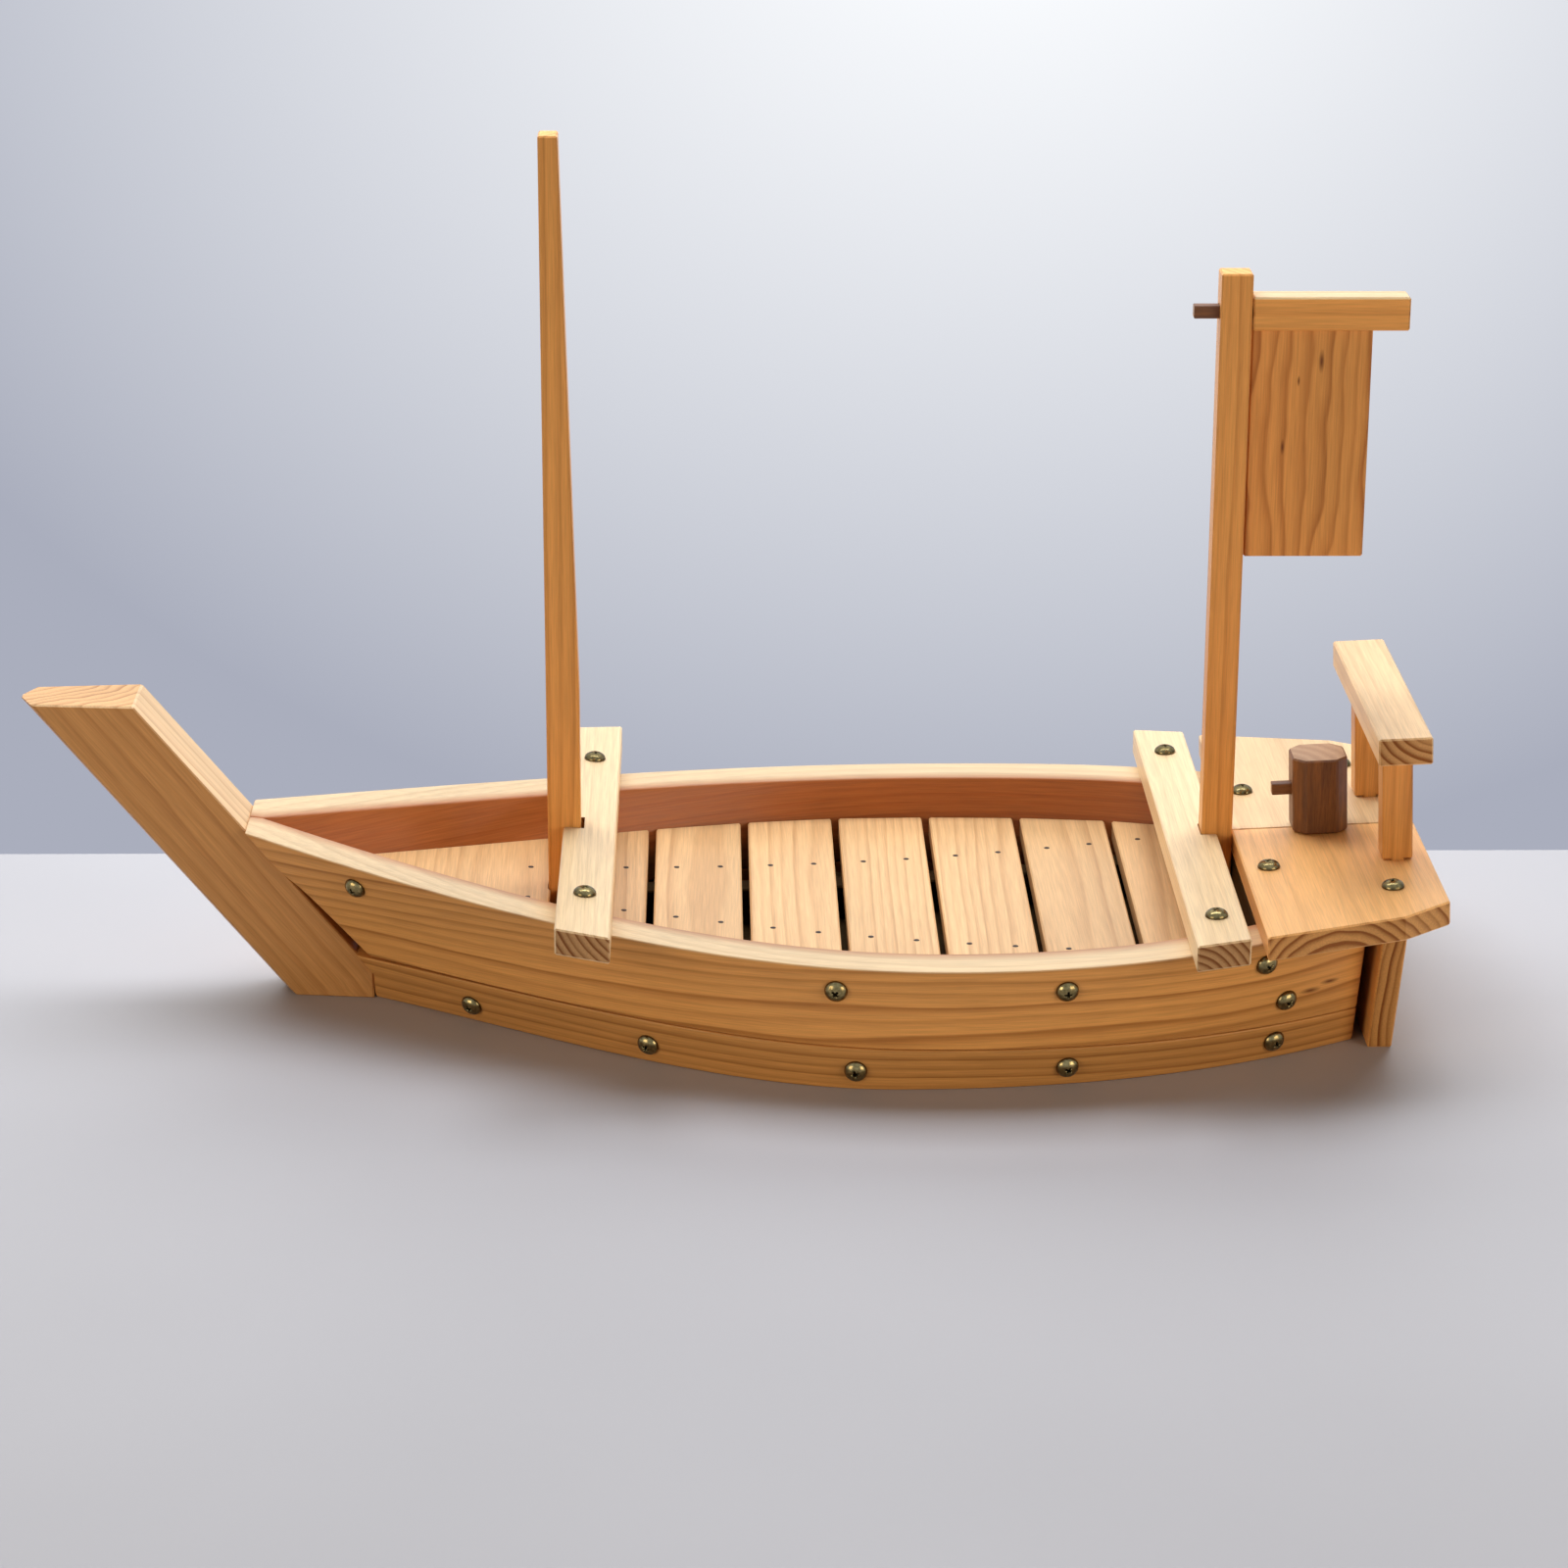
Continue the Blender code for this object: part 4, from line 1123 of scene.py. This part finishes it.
@dataclass
class Screws:
    """Round-headed brass screws with a cross recess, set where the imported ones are; sizes in metres."""

    groups: dict[str, int] = field(default_factory=lambda: {
        "port_screw": 10, "starboard_screw": 10, "fore_beam_screw": 2, "aft_beam_screw": 2,
        "stern_deck_screw": 4})
    head: float = 0.0056
    head_share: float = 0.8
    dome: float = 0.0036
    dome_tip: float = 0.03
    shank: float = 0.0016
    arm_half: float = 0.00044
    arm_reach: float = 0.0020
    recess: float = 0.0014
    dish: float = 0.5
    soft: float = 0.00022
    rim: float = 0.92
    recess_oxide: float = 1.4
    # Painted shade round the rim, in the dark colour of the recess.
    rim_shade: float = 0.7
    pitch: float = 0.0016
    thread: float = 0.00042
    thread_from: float = 0.3
    thread_fade: float = 0.1
    tip_from: float = 0.82
    tip_taper: float = 0.85
    columns: int = 48
    dome_rows: int = 20
    thread_rows: int = 5
    turn_step: float = 2.39996

    def axis(self, node: str) -> tuple[Array, Array, float]:
        """Finds a packed screw's axis from the spread of its points; the head is where they are wide.

        Args:
            node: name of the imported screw.

        Returns:
            Top of the dome, direction out of the wood, and the screw's whole length.
        """
        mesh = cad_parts[node].data
        points = np.zeros(len(mesh.vertices) * 3, np.float32)
        mesh.vertices.foreach_get("co", points)
        points = np.unique(points.reshape(-1, 3).astype(float).round(7), axis=0)
        middle = points.mean(axis=0)
        direction = np.linalg.svd(points - middle)[2][0]
        reach = (points - middle) @ direction
        wide = np.linalg.norm(points - middle - reach[:, None] * direction, axis=1)
        if reach[wide > self.head_share * wide.max()].mean() < 0:
            direction, reach = -direction, -reach
        return middle + direction * reach.max(), direction, float(np.ptp(reach))

    def surface(self, length: float, spin: float) -> tuple[Array, Array]:
        """Screw as a function of the way down its outline and the way round.

        The head is a dome with a cross sunk into it, where the lesser of |x| and |y| is under the
        arm's half width. The thread adds to the shank's radius a ridge that climbs one pitch a turn.

        Args:
            length: whole length, from the top of the dome.
            spin: angle of the cross.

        Returns:
            Points with the axis along Z and the head's seat at 0, and how dark each is: patina in the recess
            and painted shade round the rim.
        """
        way = np.linspace(0.0, 2 * math.pi, self.columns, endpoint=False)
        fall = np.linspace(self.dome_tip, math.pi / 2, self.dome_rows)[:, None]
        cap = self.head * np.sin(fall) + 0 * way
        near = np.minimum(np.abs(cap * np.cos(way - spin)), np.abs(cap * np.sin(way - spin)))
        slot = np.clip((self.arm_half - near) / self.soft + 0.5, 0.0, 1.0)
        slot = slot * np.clip((self.arm_reach - cap) / self.soft, 0.0, 1.0)
        sunk = slot * (1.0 - self.dish * cap / self.arm_reach)
        depth = length - self.dome
        down = np.linspace(0.0, 1.0, int(depth / self.pitch * self.thread_rows))[:, None]
        taper = 1.0 - self.tip_taper * np.clip((down - self.tip_from) / (1.0 - self.tip_from), 0.0, 1.0)
        ridge = np.maximum(np.cos(2 * math.pi * down * depth / self.pitch + way), 0.0)
        grip = np.clip((down - self.thread_from) / self.thread_fade, 0.0, 1.0)
        bolt = (self.shank - self.thread * (1 - ridge) * grip) * taper
        radius = np.concatenate([cap, bolt])
        height = np.concatenate([self.dome * np.cos(fall) - self.recess * sunk, -down * depth + 0 * way])
        points = np.stack([radius * np.cos(way), radius * np.sin(way), height], axis=-1)
        # Painted shade darkens the rim, like the patina in the recess.
        rim = np.clip((cap / self.head - self.rim) / (1 - self.rim), 0.0, 1.0)
        oxide_and_rim_shade = np.clip(self.recess_oxide * sunk + self.rim_shade * rim, 0.0, 1.0)
        return points, np.concatenate([oxide_and_rim_shade, 0 * bolt])

    def build(self) -> None:
        """Makes each screw in place of its packed one, the crosses left at odd angles."""
        brass = AgedBrass().finish()
        names = [f"{group}_{i}" for group, count in self.groups.items() for i in range(1, count + 1)]
        for number, node in enumerate(names):
            top, outward, length = self.axis(node)
            points, oxide_and_rim_shade = self.surface(length, self.turn_step * number)
            turn = np.array(Vector(outward).to_track_quat("Z", "Y").to_matrix())
            placed = points @ turn.T + top - outward * self.dome
            piece = new_piece("round_head_" + node, placed, turned_faces(*points.shape[:2]), {"oxide_and_rim_shade": oxide_and_rim_shade})
            fit_to_hull(piece, brass, node)


@dataclass(frozen=True)
class SoftBox:
    """A soft box: its middle, the point that it faces, its width and height, watts and tint."""

    name: str
    at: Place
    aim: Place
    size: Span
    power: float
    tint: str = "#FFFFFF"

    def hang(self) -> None:
        """Hangs the lamp, out of the camera's sight."""
        lamp = bpy.data.lights.new(self.name, "AREA")
        lamp.shape = "RECTANGLE"
        lamp.size, lamp.size_y = self.size
        lamp.energy = self.power
        lamp.color = linear(self.tint)[:3]
        holder = bpy.data.objects.new(self.name, lamp)
        holder.location = self.at
        holder.rotation_euler = (Vector(self.aim) - Vector(self.at)).to_track_quat("-Z", "Y").to_euler()
        holder.visible_camera = False
        bpy.context.scene.collection.objects.link(holder)


@dataclass
class Studio:
    """Pale floor and backdrop, soft boxes overhead, behind and beside, and the camera; in metres."""

    floor_reach: Span = (1.7, 1.5)
    floor_colour: str = "#B4B4B8"
    floor_roughness: float = 0.6
    cloud: float = 1 / 3
    cloud_gain: Span = (0.97, 1.03)
    wall_y: float = 0.196
    wall_reach: Span = (1.1, 1.0)
    wall_low: str = "#AAAEBD"
    wall_high: str = "#FAFCFF"
    glow_at: Span = (0.15, 0.57)
    glow_reach: Span = (0.62, 0.52)
    glow_fade: Span = (1.12, 0.16)
    sky: str = "#DDE4F0"
    sky_level: float = 0.03
    sky_seen: float = 0.85
    boxes: tuple[SoftBox, ...] = (
        SoftBox("overhead_box", (0.0, 0.58, 1.65), (0.0, 0.0, 0.05), (2.0, 1.1), 38.5, "#F8FAFF"),
        SoftBox("back_box", (0.0, 1.6, 0.75), (0.0, 0.0, 0.10), (3.0, 1.2), 40.0),
        SoftBox("right_box", (1.6, -1.5, 0.55), (0.0, 0.0, 0.15), (1.2, 1.0), 15.2, "#FFECD7"),
        SoftBox("left_box", (-1.6, -1.5, 0.55), (0.0, 0.0, 0.15), (1.2, 1.0), 15.0, "#FFECD7"))
    camera_at: Place = (-0.00683, -2.04654, 0.81538)
    yaw: float = 0.01828
    pitch: float = 0.33286
    roll: float = 0.00355
    lens: float = 98.73
    sensor: float = 36.0

    def sheet(self, name: str, corners: Sequence[Place], material: Material) -> None:
        """Makes a flat sheet.

        Args:
            name: name of the sheet.
            corners: its four corners in order.
            material: its finish.
        """
        mesh = bpy.data.meshes.new(name)
        mesh.from_pydata(corners, [], [(0, 1, 2, 3)])
        mesh.materials.append(material)
        sheet = bpy.data.objects.new(name, mesh)
        bpy.context.scene.collection.objects.link(sheet)

    def floor(self) -> None:
        """Lays a matt, pale grey table top."""
        material, tree, shader = new_material("matt_pale_laminate")
        node = partial(add_node, tree)
        place = node("TexCoord").outputs["Object"]
        cloud = node("TexNoise", {"Vector": place, "Scale": 1 / self.cloud, "Detail": 2.0})
        gain = node("MapRange", (cloud, *NOISE, *self.cloud_gain))
        colour = node("Mix", {"Factor": 1.0, "A": linear(self.floor_colour), "B": gain}, data_type="RGBA",
                      blend_type="MULTIPLY")
        feed(tree, shader, {"Base Color": colour, "Roughness": self.floor_roughness})
        x, y = self.floor_reach
        self.sheet("studio_floor", [(-x, -y, 0.0), (x, -y, 0.0), (x, y, 0.0), (-x, y, 0.0)], material)

    def looking(self, tree: Tree) -> Node:
        """Tells the rays that look, straight or in a reflection, from those that only light.

        Args:
            tree: node tree that asks.

        Returns:
            A node with 1 for the camera's rays and for mirrored and refracted ones, or else 0.
        """
        path = add_node(tree, "LightPath").outputs
        mirrored = add_node(tree, "Math", (path["Is Glossy Ray"], path["Is Transmission Ray"]),
                            operation="MAXIMUM")
        return add_node(tree, "Math", (path["Is Camera Ray"], mirrored), operation="MAXIMUM")

    def backdrop(self) -> None:
        """Hangs a pale sheet, glowing brightest high up, behind the boat; seen only from the front, it lights
        nothing.
        """
        material, tree, shader = new_material("pale_backdrop")
        tree.nodes.remove(shader)
        node = partial(add_node, tree)
        (x, z), y = self.wall_reach, self.wall_y
        (glow_x, glow_z), (wide, tall) = self.glow_at, self.glow_reach
        place = node("TexCoord").outputs["Object"]
        centred = node("Mapping", {"Vector": place, "Location": (glow_x, y, glow_z),
                                   "Scale": (wide, 1.0, tall)}, vector_type="TEXTURE")
        glow = node("VectorMath", (centred,), operation="LENGTH")
        level = node("MapRange", (glow, *self.glow_fade))
        colour = node("Mix", {"Factor": level, "A": linear(self.wall_low), "B": linear(self.wall_high)},
                      data_type="RGBA")
        light = node("Emission", {"Color": colour, "Strength": 1.0})
        back = node("NewGeometry").outputs["Backfacing"]
        front = node("Math", (1.0, back), operation="SUBTRACT")
        seen = node("Math", (self.looking(tree), front), operation="MULTIPLY")
        mixed = node("MixShader", (seen, node("BsdfTransparent"), light))
        feed(tree, tree.nodes["Material Output"], {"Surface": mixed})
        self.sheet("studio_backdrop", [(-x, y, 0.0), (x, y, 0.0), (x, y, z), (-x, y, z)], material)

    def sky_light(self) -> None:
        """Gives the room an even pale light, and the camera a paler view of it."""
        world = bpy.data.worlds.new("pale_room")
        world.use_nodes = True
        tree = world.node_tree
        level = add_node(tree, "MapRange", (self.looking(tree), *UNIT, self.sky_level, self.sky_seen))
        feed(tree, tree.nodes["Background"], {"Color": linear(self.sky), "Strength": level})
        bpy.context.scene.world = world

    def camera(self) -> None:
        """Places the camera where the photograph was taken from."""
        ahead = Vector((math.sin(self.yaw) * math.cos(self.pitch), math.cos(self.yaw) * math.cos(self.pitch),
                        -math.sin(self.pitch)))
        right = Vector((math.cos(self.yaw), -math.sin(self.yaw), 0.0))
        over = right.cross(ahead)
        c, s = math.cos(self.roll), math.sin(self.roll)
        right, over = c * right + s * over, c * over - s * right
        turn = Matrix((right, over, -ahead)).transposed().to_4x4()
        lens = bpy.data.cameras.new("photo_camera")
        lens.lens = self.lens
        lens.sensor_width = self.sensor
        holder = bpy.data.objects.new("photo_camera", lens)
        holder.matrix_world = Matrix.Translation(self.camera_at) @ turn
        bpy.context.scene.collection.objects.link(holder)
        bpy.context.scene.camera = holder

    def build(self) -> None:
        """Sets up floor, backdrop, light and camera."""
        self.floor()
        self.backdrop()
        for box in self.boxes:
            box.hang()
        self.sky_light()
        self.camera()
        bpy.context.scene.view_settings.view_transform = "Standard"


def main() -> None:
    """Builds the stage and dresses the boat, part by part."""
    logging.basicConfig(level=logging.INFO, format="%(name)s: %(message)s")
    lines = HullLines()
    Studio().build()
    Planking(lines).build()
    Backbone().dress()
    deck = Deck(lines)
    deck.dress()
    deck.nails()
    CrossBeams().dress()
    Masts().dress()
    SternDeck().dress()
    Screws().build()


if __name__ == "__main__":
    main()
